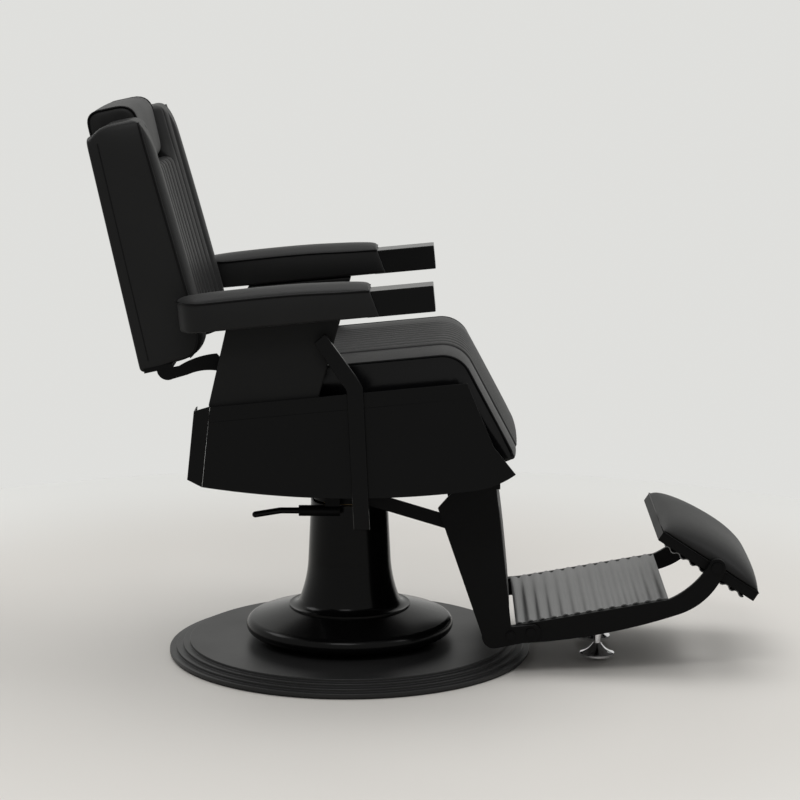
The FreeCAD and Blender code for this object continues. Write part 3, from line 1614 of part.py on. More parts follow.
def make_foot_rest():
    """Curved foot arms bolted to the leg plates, the ribbed foot plate on them and the support feet."""
    plate_length = count(size.foot_rib_count) * size.foot_rib_pitch + size.foot_plate_start
    eye = size.foot_eye_radius
    top_rear = foot_point(0, 0)
    top_front = foot_point(plate_length, 0)
    low_rear = foot_point(0, -size.foot_arm_depth)
    rise_via = foot_point(plate_length + eye * 2, eye * 0.75)
    arm = [
        top_rear,
        (*low_rear, (size.foot_arm_sag_x, size.foot_arm_sag_z)),
        (size.foot_arm_belly_x, size.foot_arm_belly_z,
         (size.foot_arm_belly_x + eye * 3, size.flip_z - eye * 3.5)),
        (size.flip_x + eye * 0.8, size.flip_z - eye * 0.6,
         (size.flip_x + eye * 0.6, size.flip_z + eye * 0.8)),
        (size.flip_x - eye * 0.6, size.flip_z + eye * 0.8, rise_via),
        top_front,
    ]
    middle = (foot_arm_inner + leg_inner) / 2
    hole = [(size.flip_x, size.flip_z, size.flip_bolt_radius + size.running_fit)]
    arms = []
    posts = []
    for name, sign in SIDES.items():
        arms.append(plate(f"foot_arm_{name}", arm, size.foot_arm_thickness, middle * sign, hole))
        posts.append(support_foot(f"support_foot_{name}", size.post_foot_y * sign))
    keep(group("foot_arms", arms))
    ribbed = corrugated(size.foot_rib_count, size.foot_rib_pitch, size.foot_rib_height,
                        size.foot_plate_wall, foot_plate_half)
    plate_x, plate_z = foot_point(size.foot_plate_start, -size.foot_plate_drop)
    keep(shaped("foot_plate", ribbed, plate_x, 0, plate_z, -size.foot_tilt))
    keep(block("foot_stay", size.stay_length, foot_arm_inner * 2, size.stay_height,
               size.stay_x - size.stay_length / 2, -foot_arm_inner, stay_underside()))
    keep(group("support_feet", posts))


def stay_underside():
    """The height of the cross stay under the foot plate, at the support feet."""
    along = (size.stay_x - size.foot_rear_x) / cosine(size.foot_tilt)
    return size.foot_rear_z + along * sine(size.foot_tilt) - size.stay_drop - size.stay_height


def support_foot(label, y):
    """A post with a bell foot, which hangs a little clear of the floor."""
    rim = size.bell_foot_rim
    stem = size.post_foot_radius
    low = size.bell_foot_clear
    lip = size.bell_foot_height / 6
    shoulder = low + size.bell_foot_height
    return turned(label, [
        (0, low),
        (rim, low),
        (rim, low + lip, (rim * 0.5, low + size.bell_foot_height * 0.55)),
        (stem, shoulder),
        (stem, stay_underside()),
        (0, stay_underside()),
    ], size.stay_x, y)


def make_flip_pad():
    """The flip pad: a rimmed tray on pivot bolts, with a ribbed tread below and a crowned pad above."""
    rear = size.flip_rear
    length = size.flip_rear + size.flip_front
    half = flip_half
    height = size.flip_frame_height
    wall = size.flip_wall
    tilt = size.flip_tilt
    outer_x, outer_z = flip_point(-rear, -height)
    inner_x, inner_z = flip_point(wall - rear, -height)
    outer = block("flip_tray_outer", length, half * 2, height, outer_x, -half, outer_z, tilt)
    inner = block("flip_tray_inner", length - wall * 2, half * 2 - wall * 2, height - size.flip_deck,
                  inner_x, wall - half, inner_z, tilt)
    keep(less("flip_tray", outer, inner))

    tread_height = size.flip_rib_height + size.flip_tread_wall
    ribs = count(size.flip_rib_count)
    tread_start = (length - ribs * size.flip_rib_pitch) / 2 - rear
    tread = corrugated(ribs, size.flip_rib_pitch, size.flip_rib_height, size.flip_tread_wall, half - wall)
    tread_x, tread_z = flip_point(tread_start, -height - tread_height)
    keep(shaped("flip_tread", tread, tread_x, 0, tread_z, tilt))
    keep(shaped("flip_pad", flip_pad_solid(), size.flip_x, 0, size.flip_z, tilt))

    bolts = []
    for name, sign in SIDES.items():
        shank_start = half if sign > 0 else -leg_inner
        head_start = leg_inner if sign > 0 else -leg_inner - size.flip_bolt_head_height
        bolts.append(joined(f"flip_bolt_{name}", [
            rod(f"flip_bolt_{name}_shank", size.flip_bolt_radius, leg_inner - half,
                size.flip_x, shank_start, size.flip_z),
            rod(f"flip_bolt_{name}_head", size.flip_bolt_head, size.flip_bolt_head_height,
                size.flip_x, head_start, size.flip_z),
        ]))
    keep(group("flip_bolts", bolts))


def flip_pad_solid():
    """A pad with a flat rear face, a high crown and a front that rolls down to the frame."""
    rear = -float(size.flip_rear)
    front = float(size.flip_front)
    crown = float(size.flip_pad_crown)
    edge = float(size.flip_pad_edge)
    base = float(size.soft_gap)
    nose = float(size.flip_pad_nose)
    roll = float(size.flip_pad_roll)

    def profile(fullness):
        top = edge + (crown - edge) * fullness
        inset = float(size.flip_pad_draw) * (1 - fullness)
        return [
            (rear + inset, base),
            (front - inset, base, (front - inset + nose / 2, edge * 0.3)),
            (front - inset - nose, edge * 0.6, (front * 0.35, top)),
            (rear + inset + roll, top * 0.75),
            (rear + inset, top * 0.5),
        ]

    return pillow(profile, flip_half)


def write_parts():
    """Checks every object and sub-part, and writes one file for each sub-part."""
    doc.recompute()
    broken = [item.Label for item in doc.Objects if {"Invalid", "Error"} & set(item.State)]
    for piece in nodes:
        if piece.Shape.isNull() or not piece.Shape.isValid():
            broken.append(piece.Label)
    if broken:
        raise ValueError(f"not built: {sorted(set(broken))}")
    os.makedirs("parts", exist_ok=True)
    for piece in nodes:
        piece.Shape.exportStep(f"parts/{piece.Label}.step")
    print(len(nodes), "sub-parts written")


make_base()
make_lift()
make_hub()
make_seat_frame()
make_seat_board()
make_seat_cushion()
make_skirts()
make_arm_rests()
make_levers()
make_gas_spring()
make_back_frame()
make_back_cushion()
make_back_shell()
make_head_rest()
make_leg_rest()
make_calf()
make_links()
make_foot_rest()
make_flip_pad()
write_parts()
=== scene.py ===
"""Dresses the barber chair: stuffed vinyl cushions, painted and plated metalwork, studio stage."""
import json
import math

import bmesh
import bpy
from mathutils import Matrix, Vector


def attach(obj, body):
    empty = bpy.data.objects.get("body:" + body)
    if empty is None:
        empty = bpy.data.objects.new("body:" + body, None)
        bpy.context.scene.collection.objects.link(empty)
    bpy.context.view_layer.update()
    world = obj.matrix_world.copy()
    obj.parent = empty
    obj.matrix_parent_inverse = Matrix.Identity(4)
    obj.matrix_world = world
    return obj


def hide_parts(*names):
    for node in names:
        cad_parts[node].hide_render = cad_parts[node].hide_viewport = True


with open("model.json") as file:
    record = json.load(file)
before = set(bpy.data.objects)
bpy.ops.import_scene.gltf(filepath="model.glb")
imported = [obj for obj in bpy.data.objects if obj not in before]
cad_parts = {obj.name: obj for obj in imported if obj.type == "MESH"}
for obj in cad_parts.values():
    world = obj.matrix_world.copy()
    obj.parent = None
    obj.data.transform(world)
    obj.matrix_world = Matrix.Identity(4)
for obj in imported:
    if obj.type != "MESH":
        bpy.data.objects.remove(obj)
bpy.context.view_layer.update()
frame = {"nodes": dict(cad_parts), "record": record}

bl_info = {
    "name": "Barber Chair",
    "version": (1, 0, 0),
    "blender": (4, 5, 0),
    "location": "View3D > Sidebar > Chair",
    "description": "Builds the cushions, finishes and stage of a barber chair on its CAD frame",
    "category": "Add Mesh",
}

MM = 0.001
SIDES = {"right": -1, "left": 1}


def length(label, text, value):
    return bpy.props.FloatProperty(name=label, description=text, default=value, unit="LENGTH", precision=4)


def ratio(label, text, value):
    return bpy.props.FloatProperty(name=label, description=text, default=value, min=0, max=1,
                                   subtype="FACTOR")


def colour(label, text, value):
    return bpy.props.FloatVectorProperty(name=label, description=text, default=value, size=3, min=0, max=1,
                                         subtype="COLOR")


class ChairSizes(bpy.types.PropertyGroup):
    """Soft forms that the sewing and stuffing give to the chair."""
    seat_border_dome: length("Seat border dome", "Rise of the plain borders beside the seat channels", 0.003)
    channel_rise: length("Channel rise", "Height of a sewn channel above its stitch lines", 0.0042)
    boxing_bulge: length("Boxing bulge", "How far the seat's side bands swell between their seams", 0.005)
    bolster_rise: length("Bolster rise", "Height of the back's side bolsters above their seams", 0.011)
    head_crown: length("Head rest crown", "Swelling of the head rest between its end seams", 0.003)
    arm_crown: length("Arm pad crown", "Rise of an arm pad's top above its seam", 0.0135)
    calf_crown: length("Calf pad crown", "Swelling of the calf pad", 0.006)
    flip_crown: length("Flip pad crown", "Height of the flip pad above its tray", 0.041)
    welt_radius: length("Welt radius", "Radius of the piping sewn into the seams", 0.0024)
    swell_cap: length("Swell limit", "The most that stuffing moves a point of a cover", 0.004)
    swell_pressure: bpy.props.FloatProperty(name="Stuffing pressure", default=3.0, min=0,
                                            description="Pressure that fills the covers")


class ChairColours(bpy.types.PropertyGroup):
    """Finishes of the chair and its stage."""
    vinyl: colour("Vinyl", "Top cover of the cushions", (0.011, 0.011, 0.011))
    band_vinyl: colour("Band vinyl", "Smoother vinyl of the seat's side bands", (0.004, 0.004, 0.0044))
    paint: colour("Gloss paint", "Skirts, bell, column and arm bars", (0.002, 0.002, 0.0021))
    powder: colour("Powder coat", "Leg plates, foot arms and levers", (0.004, 0.004, 0.0041))
    # A lighter copy of the satin black for the base plate: painted light, brightening the upward face lit
    # from overhead
    base: colour("Base enamel", "Round base plate", (0.013, 0.013, 0.0132))
    tread: colour("Tread", "Ribbed foot plate", (0.13, 0.13, 0.13))
    steel: colour("Steel", "Ground steel of the ram, pins and rods", (0.55, 0.55, 0.56))
    chrome: colour("Chrome", "Support feet", (0.75, 0.75, 0.77))
    bronze: colour("Bronze", "Oiled bush and thrust washer", (0.2, 0.14, 0.07))
    rubber: colour("Rubber", "Floor mat and wiper seal", (0.02, 0.02, 0.02))
    plywood: colour("Plywood", "Black-stained boards under the cushions", (0.022, 0.018, 0.015))
    floor: colour("Floor", "Plain pale floor", (0.62, 0.6, 0.57))
    wall: colour("Wall", "Plain pale surroundings", (0.74, 0.74, 0.72))
    vinyl_roughness: ratio("Vinyl roughness", "Gloss of the cushion covers", 0.46)
    band_roughness: ratio("Band roughness", "Gloss of the seat's side bands", 0.2)
    paint_roughness: ratio("Paint roughness", "Gloss of the painted sheet", 0.2)


# Shader node groups shared by the finishes
CREASE_REACH = 0.2
SWELLS_PER_METRE = 22
SHADES_PER_METRE = 9
SMEARS_PER_METRE = 7
SPECKS_PER_METRE = 900
SPECK_SHARPNESS = 9
BRUSH_STRETCH = (1, 0.03, 1)
DUST = (0.3, 0.29, 0.27)


def new_group(name, inputs, outputs):
    """An empty node group with float inputs (name, default) and named float outputs."""
    group = bpy.data.node_groups.new(name, "ShaderNodeTree")
    for label, value in inputs:
        group.interface.new_socket(label, in_out="INPUT", socket_type="NodeSocketFloat").default_value = value
    for label in outputs:
        group.interface.new_socket(label, in_out="OUTPUT", socket_type="NodeSocketFloat")
    return group, group.nodes.new("NodeGroupInput"), group.nodes.new("NodeGroupOutput")


def preset(node, values):
    """Sets several inputs of a node by name."""
    for label, value in values.items():
        node.inputs[label].default_value = value


def feed(tree, socket, value):
    """Sets a socket's own value, or links another socket to it."""
    if isinstance(value, (int, float)):
        socket.default_value = value
    else:
        tree.links.new(value, socket)


def math_node(tree, operation, first, second):
    node = tree.nodes.new("ShaderNodeMath")
    node.operation = operation
    feed(tree, node.inputs[0], first)
    feed(tree, node.inputs[1], second)
    return node.outputs[0]


def noise_node(tree, scale, detail, place):
    node = tree.nodes.new("ShaderNodeTexNoise")
    node.inputs["Detail"].default_value = detail
    tree.links.new(place, node.inputs["Vector"])
    feed(tree, node.inputs["Scale"], scale)
    return node.outputs["Fac"]


def own_place(tree):
    """Where a point lies in the axes of its own piece."""
    return tree.nodes.new("ShaderNodeTexCoord").outputs["Object"]


def soft_ramp(tree, value, low, high):
    """0 below one value and 1 above another, with a soft step between them."""
    ramp = tree.nodes.new("ShaderNodeMapRange")
    ramp.interpolation_type = "SMOOTHSTEP"
    preset(ramp, {"From Min": low, "From Max": high})
    tree.links.new(value, ramp.inputs["Value"])
    return ramp.outputs["Result"]


def between(tree, factor, dark, light):
    """A colour between two shades, driven by a factor over the surface."""
    mix = tree.nodes.new("ShaderNodeMix")
    mix.data_type = "RGBA"
    preset(mix, {"A": (*dark, 1), "B": (*light, 1)})
    tree.links.new(factor, mix.inputs["Factor"])
    return mix.outputs["Result"]


def leather_grain_group():
    """Pebbled grain: cells with soft creases between them, and slow swells in the stuffing."""
    inputs = [("Cells per metre", 700), ("Crease", 0.5), ("Swell", 0.4)]
    group, entry, leaving = new_group("Leather grain", inputs, ["Height", "Shade"])
    link = group.links.new
    place = own_place(group)
    cells = group.nodes.new("ShaderNodeTexVoronoi")
    cells.feature = "DISTANCE_TO_EDGE"
    link(place, cells.inputs["Vector"])
    link(entry.outputs["Cells per metre"], cells.inputs["Scale"])
    crease = math_node(group, "MINIMUM", cells.outputs["Distance"], CREASE_REACH)
    crease = math_node(group, "MULTIPLY", crease, entry.outputs["Crease"])
    swell = noise_node(group, SWELLS_PER_METRE, 3, place)
    swell = math_node(group, "MULTIPLY", swell, entry.outputs["Swell"])
    link(math_node(group, "ADD", crease, swell), leaving.inputs["Height"])
    link(noise_node(group, SHADES_PER_METRE, 4, place), leaving.inputs["Shade"])
    return group


def handled_group():
    """Uneven gloss: faint smears from cleaning and hands, with fine dust specks."""
    inputs = [("Base", 0.3), ("Smear", 0.1), ("Speck", 0.04)]
    group, entry, leaving = new_group("Handled gloss", inputs, ["Roughness", "Dust"])
    place = own_place(group)
    smear = math_node(group, "SUBTRACT", noise_node(group, SMEARS_PER_METRE, 5, place), 0.5)
    smear = math_node(group, "MULTIPLY", smear, entry.outputs["Smear"])
    rough = math_node(group, "ADD", entry.outputs["Base"], smear)
    speck = noise_node(group, SPECKS_PER_METRE, 2, place)
    speck = math_node(group, "POWER", speck, SPECK_SHARPNESS)
    speck = math_node(group, "MULTIPLY", speck, entry.outputs["Speck"])
    group.links.new(math_node(group, "ADD", rough, speck), leaving.inputs["Roughness"])
    group.links.new(speck, leaving.inputs["Dust"])
    return group


def orange_peel_group():
    """The slight waviness and pitting of sprayed paint and powder coat."""
    group, entry, leaving = new_group("Orange peel", [("Waves per metre", 240), ("Depth", 0.3)], ["Height"])
    waves = noise_node(group, entry.outputs["Waves per metre"], 2, own_place(group))
    group.links.new(math_node(group, "MULTIPLY", waves, entry.outputs["Depth"]), leaving.inputs["Height"])
    return group


def brushed_group():
    """Fine lines left by grinding, stretched along one axis."""
    inputs = [("Lines per metre", 900), ("Depth", 0.3)]
    group, entry, leaving = new_group("Brushed", inputs, ["Height", "Shade"])
    link = group.links.new
    stretch = group.nodes.new("ShaderNodeVectorMath")
    stretch.operation = "MULTIPLY"
    stretch.inputs[1].default_value = BRUSH_STRETCH
    link(own_place(group), stretch.inputs[0])
    lines = noise_node(group, entry.outputs["Lines per metre"], 3, stretch.outputs[0])
    link(math_node(group, "MULTIPLY", lines, entry.outputs["Depth"]), leaving.inputs["Height"])
    link(lines, leaving.inputs["Shade"])
    return group


def placed(tree, group, values):
    """A copy of a node group in a material, with its own values."""
    node = tree.nodes.new("ShaderNodeGroup")
    node.node_tree = group
    preset(node, values)
    return node


def new_finish(name):
    material = bpy.data.materials.new(name)
    material.use_nodes = True
    tree = material.node_tree
    return material, tree, tree.nodes["Principled BSDF"]


def add_bump(tree, shader, height, strength, distance):
    bump = tree.nodes.new("ShaderNodeBump")
    preset(bump, {"Strength": strength, "Distance": distance})
    tree.links.new(height, bump.inputs["Height"])
    tree.links.new(bump.outputs["Normal"], shader.inputs["Normal"])


def add_shades(tree, shader, factor, dark, light):
    tree.links.new(between(tree, factor, dark, light), shader.inputs["Base Color"])


def add_wear(tree, shader, roughness, smear, speck):
    """Uneven gloss on a finish, round a base roughness."""
    handled = placed(tree, finishes["handled"], {"Base": roughness, "Smear": smear, "Speck": speck})
    tree.links.new(handled.outputs["Roughness"], shader.inputs["Roughness"])
    return handled


def scaled(shade, factor):
    return tuple(value * factor for value in shade)


def vinyl_finish(name, shade, roughness, cells, crease, swell, shine=0.3, sheen=0.0):
    material, tree, shader = new_finish(name)
    grain = placed(tree, finishes["grain"], {"Cells per metre": cells, "Crease": crease, "Swell": swell})
    add_wear(tree, shader, roughness, 0.12, 0.03)
    add_shades(tree, shader, grain.outputs["Shade"], scaled(shade, 0.8), scaled(shade, 1.2))
    add_bump(tree, shader, grain.outputs["Height"], 0.35, 0.0009)
    preset(shader, {"Specular IOR Level": shine, "Sheen Weight": sheen, "Sheen Roughness": 0.5})
    return material


def paint_finish(name, shade, roughness, smear, peel, shine):
    material, tree, shader = new_finish(name)
    handled = add_wear(tree, shader, roughness, smear, 0.05)
    waves = placed(tree, finishes["peel"], {"Depth": peel})
    add_shades(tree, shader, handled.outputs["Dust"], shade, DUST)
    add_bump(tree, shader, waves.outputs["Height"], 0.1, 0.0006)
    preset(shader, {"Specular IOR Level": shine})
    return material


def metal_finish(name, shade, roughness, lines, metallic=1.0):
    material, tree, shader = new_finish(name)
    brushed = placed(tree, finishes["brushed"], {"Lines per metre": lines})
    add_wear(tree, shader, roughness, 0.12, 0.05)
    add_shades(tree, shader, brushed.outputs["Shade"], scaled(shade, 0.8), scaled(shade, 1.1))
    add_bump(tree, shader, brushed.outputs["Height"], 0.12, 0.0004)
    preset(shader, {"Metallic": metallic})
    return material


def plywood_finish(name, shade):
    material, tree, shader = new_finish(name)
    brushed = placed(tree, finishes["brushed"], {"Lines per metre": 160})
    add_shades(tree, shader, brushed.outputs["Shade"], scaled(shade, 0.6), scaled(shade, 1.2))
    add_bump(tree, shader, brushed.outputs["Height"], 0.2, 0.0008)
    preset(shader, {"Roughness": 0.7})
    return material


finishes = {}


def mix_finishes():
    """All finishes, once."""
    tint = bpy.context.scene.chair_colours
    finishes.update(grain=leather_grain_group(), handled=handled_group(), peel=orange_peel_group(),
                    brushed=brushed_group())
    finishes.update(
        vinyl=vinyl_finish("cover_vinyl", tint.vinyl, tint.vinyl_roughness,
                           cells=650, crease=0.6, swell=0.12, shine=0.12, sheen=0.03),
        band=vinyl_finish("band_vinyl", tint.band_vinyl, tint.band_roughness,
                          cells=500, crease=0.2, swell=0.8, shine=0.16),
        panel=vinyl_finish("panel_vinyl", scaled(tint.vinyl, 0.6), 0.5,
                           cells=650, crease=0.5, swell=0.1, shine=0.12),
        # Piping at half the band's shade: painted shade, the darkness of the seam creases laid into the
        # piping's colour
        welt=vinyl_finish("welt_vinyl_seam_shade", scaled(tint.band_vinyl, 0.5), 0.35,
                          cells=900, crease=0.2, swell=0.1, shine=0.1),
        rubber=vinyl_finish("moulded_rubber", tint.rubber, 0.7, cells=300, crease=0.3, swell=0.2),
        gloss_black=paint_finish("gloss_paint", tint.paint, tint.paint_roughness,
                                 smear=0.16, peel=0.5, shine=0.1),
        satin_black=paint_finish("powder_coat", tint.powder, 0.42, smear=0.14, peel=1.0, shine=0.06),
        base_enamel=paint_finish("base_enamel", tint.base, 0.4, smear=0.14, peel=1.0, shine=0.25),
        tread_metal=metal_finish("tread_coat", tint.tread, 0.42, lines=700, metallic=0.35),
        steel=metal_finish("ground_steel", tint.steel, 0.3, lines=1200),
        chrome=metal_finish("chrome_plate", tint.chrome, 0.12, lines=300),
        bronze=metal_finish("bearing_bronze", tint.bronze, 0.34, lines=900),
        board=plywood_finish("plywood_board", tint.plywood),
    )
    finishes["upholstery"] = finishes["vinyl"]
    finishes["covered_panel"] = finishes["panel"]


# Sewing and stuffing
STUFFING_STEPS = 12
CLOTH = {"quality": 6, "mass": 0.4, "tension_stiffness": 40, "compression_stiffness": 40,
         "shear_stiffness": 20, "bending_stiffness": 4, "use_pressure": True, "vertex_group_mass": "sewn"}
# Places across the hidden side of a cover, as shares of its half width
HIDDEN_SIDE = (1, 0.5, 0, -0.5, -1)


def smooth(value):
    """A soft step from 0 to 1."""
    value = min(max(value, 0.0), 1.0)
    return value * value * (3 - 2 * value)


def dome(value):
    """The height of a half circle: 1 in the middle, and 0 at -1 and 1."""
    return math.sqrt(max(1 - value * value, 0.0))


def roll_off(amount, past, reach):
    """How far a surface has rolled away, a way past the start of its round."""
    return amount * (1 - dome(max(past / reach, 0)))


def turned(origin, angle, along, across, up):
    """A point drawn level, turned in side view and set at its origin (x, z)."""
    x = origin[0] + along * math.cos(angle) - up * math.sin(angle)
    z = origin[1] + along * math.sin(angle) + up * math.cos(angle)
    return x, across, z


def put(name, data):
    """A new object in the scene."""
    piece = bpy.data.objects.new(name, data)
    bpy.context.scene.collection.objects.link(piece)
    return piece


def sewn_down(rings, tight, first=0, last_ring=True):
    """Points of a shell that stay put: the tight places of every ring, and the whole of its end rings."""
    around = len(rings[0])
    held = [first + row * around + index for row in range(len(rings)) for index in tight]
    held += range(first, first + around)
    if last_ring:
        held += range(first + around * (len(rings) - 1), first + around * len(rings))
    return held


def sewn(name, shells, slots=("vinyl",), shares=(0.9, 0.6, 0.2)):
    """One cover from several shells. A shell is its closed rings and a slot number for each side of a ring.

    Each end of a shell closes with rings that shrink by the shares towards its middle.
    """
    mesh = bpy.data.meshes.new(name)
    points, faces, numbers, ends = [], [], [], []
    for rings, sides in shells:
        first = len(points)
        around = len(rings[0])
        points += [Vector(point) * MM for ring in rings for point in ring]
        for row in range(len(rings) - 1):
            low = first + row * around
            for index in range(around):
                after = (index + 1) % around
                faces.append((low + index, low + after, low + around + after, low + around + index))
                numbers.append(sides[index] if sides else 0)
        ends += [range(first, first + around), range(len(points) - around, len(points))]
    for rim in ends:
        around = len(rim)
        spans = [(points[rim[index]] - points[rim[index - 1]]).length for index in range(around)]
        weights = [spans[index] + spans[(index + 1) % around] for index in range(around)]
        weighed = (points[place] * weight for place, weight in zip(rim, weights))
        middle = sum(weighed, Vector()) / (2 * sum(spans))
        inner = rim
        for share in shares:
            outer, inner = inner, range(len(points), len(points) + around)
            points += [middle.lerp(points[index], share) for index in rim]
            for index in range(around):
                after = (index + 1) % around
                faces.append((outer[index], outer[after], inner[after], inner[index]))
        faces.append(tuple(inner))
        numbers += [0] * (around * len(shares) + 1)
    mesh.from_pydata(points, [], faces)
    for slot in slots:
        mesh.materials.append(finishes[slot])
    mesh.polygons.foreach_set("material_index", numbers)
    work = bmesh.new()
    work.from_mesh(mesh)
    bmesh.ops.recalc_face_normals(work, faces=work.faces)
    work.to_mesh(mesh)
    work.free()
    mesh.shade_smooth()
    return put(name, mesh)


def stuffed(piece, held, share):
    """Fills a cover: cloth under pressure, held at its seams, with the result kept in the mesh."""
    scene = bpy.context.scene
    sizes = scene.chair_sizes
    group = piece.vertex_groups.new(name="sewn")
    group.add(held, 1.0, "REPLACE")
    before = [vertex.co.copy() for vertex in piece.data.vertices]
    cloth = piece.modifiers.new("stuffing", "CLOTH")
    for field, value in CLOTH.items():
        setattr(cloth.settings, field, value)
    cloth.settings.uniform_pressure_force = sizes.swell_pressure * share
    cloth.settings.effector_weights.gravity = 0
    cloth.collision_settings.use_collision = False
    cloth.point_cache.frame_end = STUFFING_STEPS
    for step in range(1, STUFFING_STEPS + 1):
        scene.frame_set(step)
    filled = piece.evaluated_get(bpy.context.evaluated_depsgraph_get())
    after = [vertex.co.copy() for vertex in filled.data.vertices]
    piece.modifiers.remove(cloth)
    cap = sizes.swell_cap * share
    for vertex, old, new in zip(piece.data.vertices, before, after):
        move = new - old
        if move.length > cap:
            move *= cap / move.length
        vertex.co = old + move
    scene.frame_set(1)
    soften = piece.modifiers.new("soften", "SUBSURF")
    soften.render_levels = 1


def welt(name, path, body, radius=None, closed=False, finish="welt"):
    """Piping along a seam, a bead along an edge, or a dark strip of painted shade."""
    curve = bpy.data.curves.new(name, "CURVE")
    curve.dimensions = "3D"
    curve.bevel_depth = radius * MM if radius else bpy.context.scene.chair_sizes.welt_radius
    curve.bevel_resolution = 3
    curve.use_fill_caps = True
    spline = curve.splines.new("POLY")
    spline.points.add(len(path) - 1)
    for point, place in zip(spline.points, path):
        point.co = (*(Vector(place) * MM), 1)
    spline.use_cyclic_u = closed
    curve.materials.append(finishes[finish])
    piece = put(name, curve)
    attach(piece, body)


def cushion(piece, held, share, body, node):
    """Stuffs a cover, attaches it to its body and hides the CAD solid that it stands for."""
    stuffed(piece, held, share)
    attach(piece, body)
    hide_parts(node)


CHANNELS = 11
PITCH = 26.0
CHANNEL_EDGE = CHANNELS * PITCH / 2
CHANNEL_STEPS = (0, 1.0, 2.6, 5.0, 8.5, 13.0, 17.5, 21.0, 23.4, 25.0)
BORDER_STEPS = (0, 0.012, 0.04, 0.09, 0.17, 0.28, 0.4, 0.55, 0.7, 0.82, 0.9, 0.96, 0.985)


def channel_places():
    """Places across the sewn channels, from the right edge of the first one."""
    return [-CHANNEL_EDGE + channel * PITCH + step for channel in range(CHANNELS) for step in CHANNEL_STEPS]


def channel_line(half):
    """Places across a channelled cover, from its right seam to its left one, and the stitched ones."""
    border = half - CHANNEL_EDGE
    right = [-half + border * step for step in BORDER_STEPS]
    line = right + channel_places() + [CHANNEL_EDGE] + [-place for place in reversed(right)]
    stitched = {len(right) + channel * len(CHANNEL_STEPS) for channel in range(CHANNELS + 1)}
    stitched |= {0, len(line) - 1}
    return line, stitched


def channel_bump(place, edge=CHANNEL_EDGE):
    """The rounded rise of a sewn channel, 0 on its stitch lines and 1 on its crest."""
    across = ((place + edge) % PITCH) / PITCH * 2 - 1
    return dome(across) ** 0.5 if abs(place) < edge else 0.0


# The seat in side view, in millimetres: its top, the bend over the front edge and the apron
SEAT_HALF = 242.0
SEAT_LEVEL = 602.0
SEAT_TILT = math.radians(5.5)
SEAT_REAR = -228.0
SEAT_FRONT = 212.0
SEAT_CROWN = 3.0
APRON_FALL = math.radians(65)
APRON_BEND = 55.0
APRON_LENGTH = 214.0
APRON_FLARE = 9.0
APRON_DEPTH = 31.0
BOARD_REAR = Vector((-228, 464.4))
BOARD_BEND = Vector((178, 503.6))
BOARD_FRONT = Vector((223.4, 508))
SEAT_ROWS, BEND_ROWS, APRON_ROWS, BAND_ROWS = 33, 12, 16, 10
# How far the cover runs past the hem while it rounds off, and how far it draws in there
HEM_ROUND = ((2.4, 0.8), (4.2, 2.6), (5.2, 6))
BORDER_RISE = 4.0
FRONT_FULLNESS = 1.9
PUCKER = 1.3


def seat_stations():
    """Along the seat: seam point, outward direction, the board's point below and the way round the front."""
    along = Vector((math.cos(SEAT_TILT), math.sin(SEAT_TILT)))
    upward = Vector((-math.sin(SEAT_TILT), math.cos(SEAT_TILT)))
    down = Vector((math.cos(APRON_FALL), -math.sin(APRON_FALL)))
    forward = Vector((math.sin(APRON_FALL), math.cos(APRON_FALL)))
    rear = Vector((SEAT_REAR, SEAT_LEVEL + SEAT_REAR * math.tan(SEAT_TILT)))
    corner = Vector((SEAT_FRONT, SEAT_LEVEL + SEAT_FRONT * math.tan(SEAT_TILT)))
    bend = SEAT_TILT + APRON_FALL
    setback = APRON_BEND * math.tan(bend / 2)
    start = corner - along * setback
    end = corner + down * setback
    middle = start - upward * APRON_BEND
    hem = corner + down * APRON_LENGTH + forward * APRON_FLARE
    board_hem = hem - forward * APRON_DEPTH
    stations = []
    for row in range(SEAT_ROWS + 1):
        part = row / SEAT_ROWS
        stations.append((rear.lerp(start, part), upward, BOARD_REAR.lerp(BOARD_BEND, part), 0.0))
    for row in range(1, BEND_ROWS + 1):
        part = row / BEND_ROWS
        turn = bend * row / BEND_ROWS - SEAT_TILT
        normal = Vector((math.sin(turn), math.cos(turn)))
        stations.append((middle + normal * APRON_BEND, normal, BOARD_BEND.lerp(BOARD_FRONT, part), part))
    for row in range(1, APRON_ROWS + 1):
        part = row / APRON_ROWS
        stations.append((end.lerp(hem, part), forward, BOARD_FRONT.lerp(board_hem, part), 1.0 + part))
    for reach, _ in HEM_ROUND:
        stations.append((hem + down * reach, forward, board_hem + down * reach * 0.6, 2.0))
    return stations


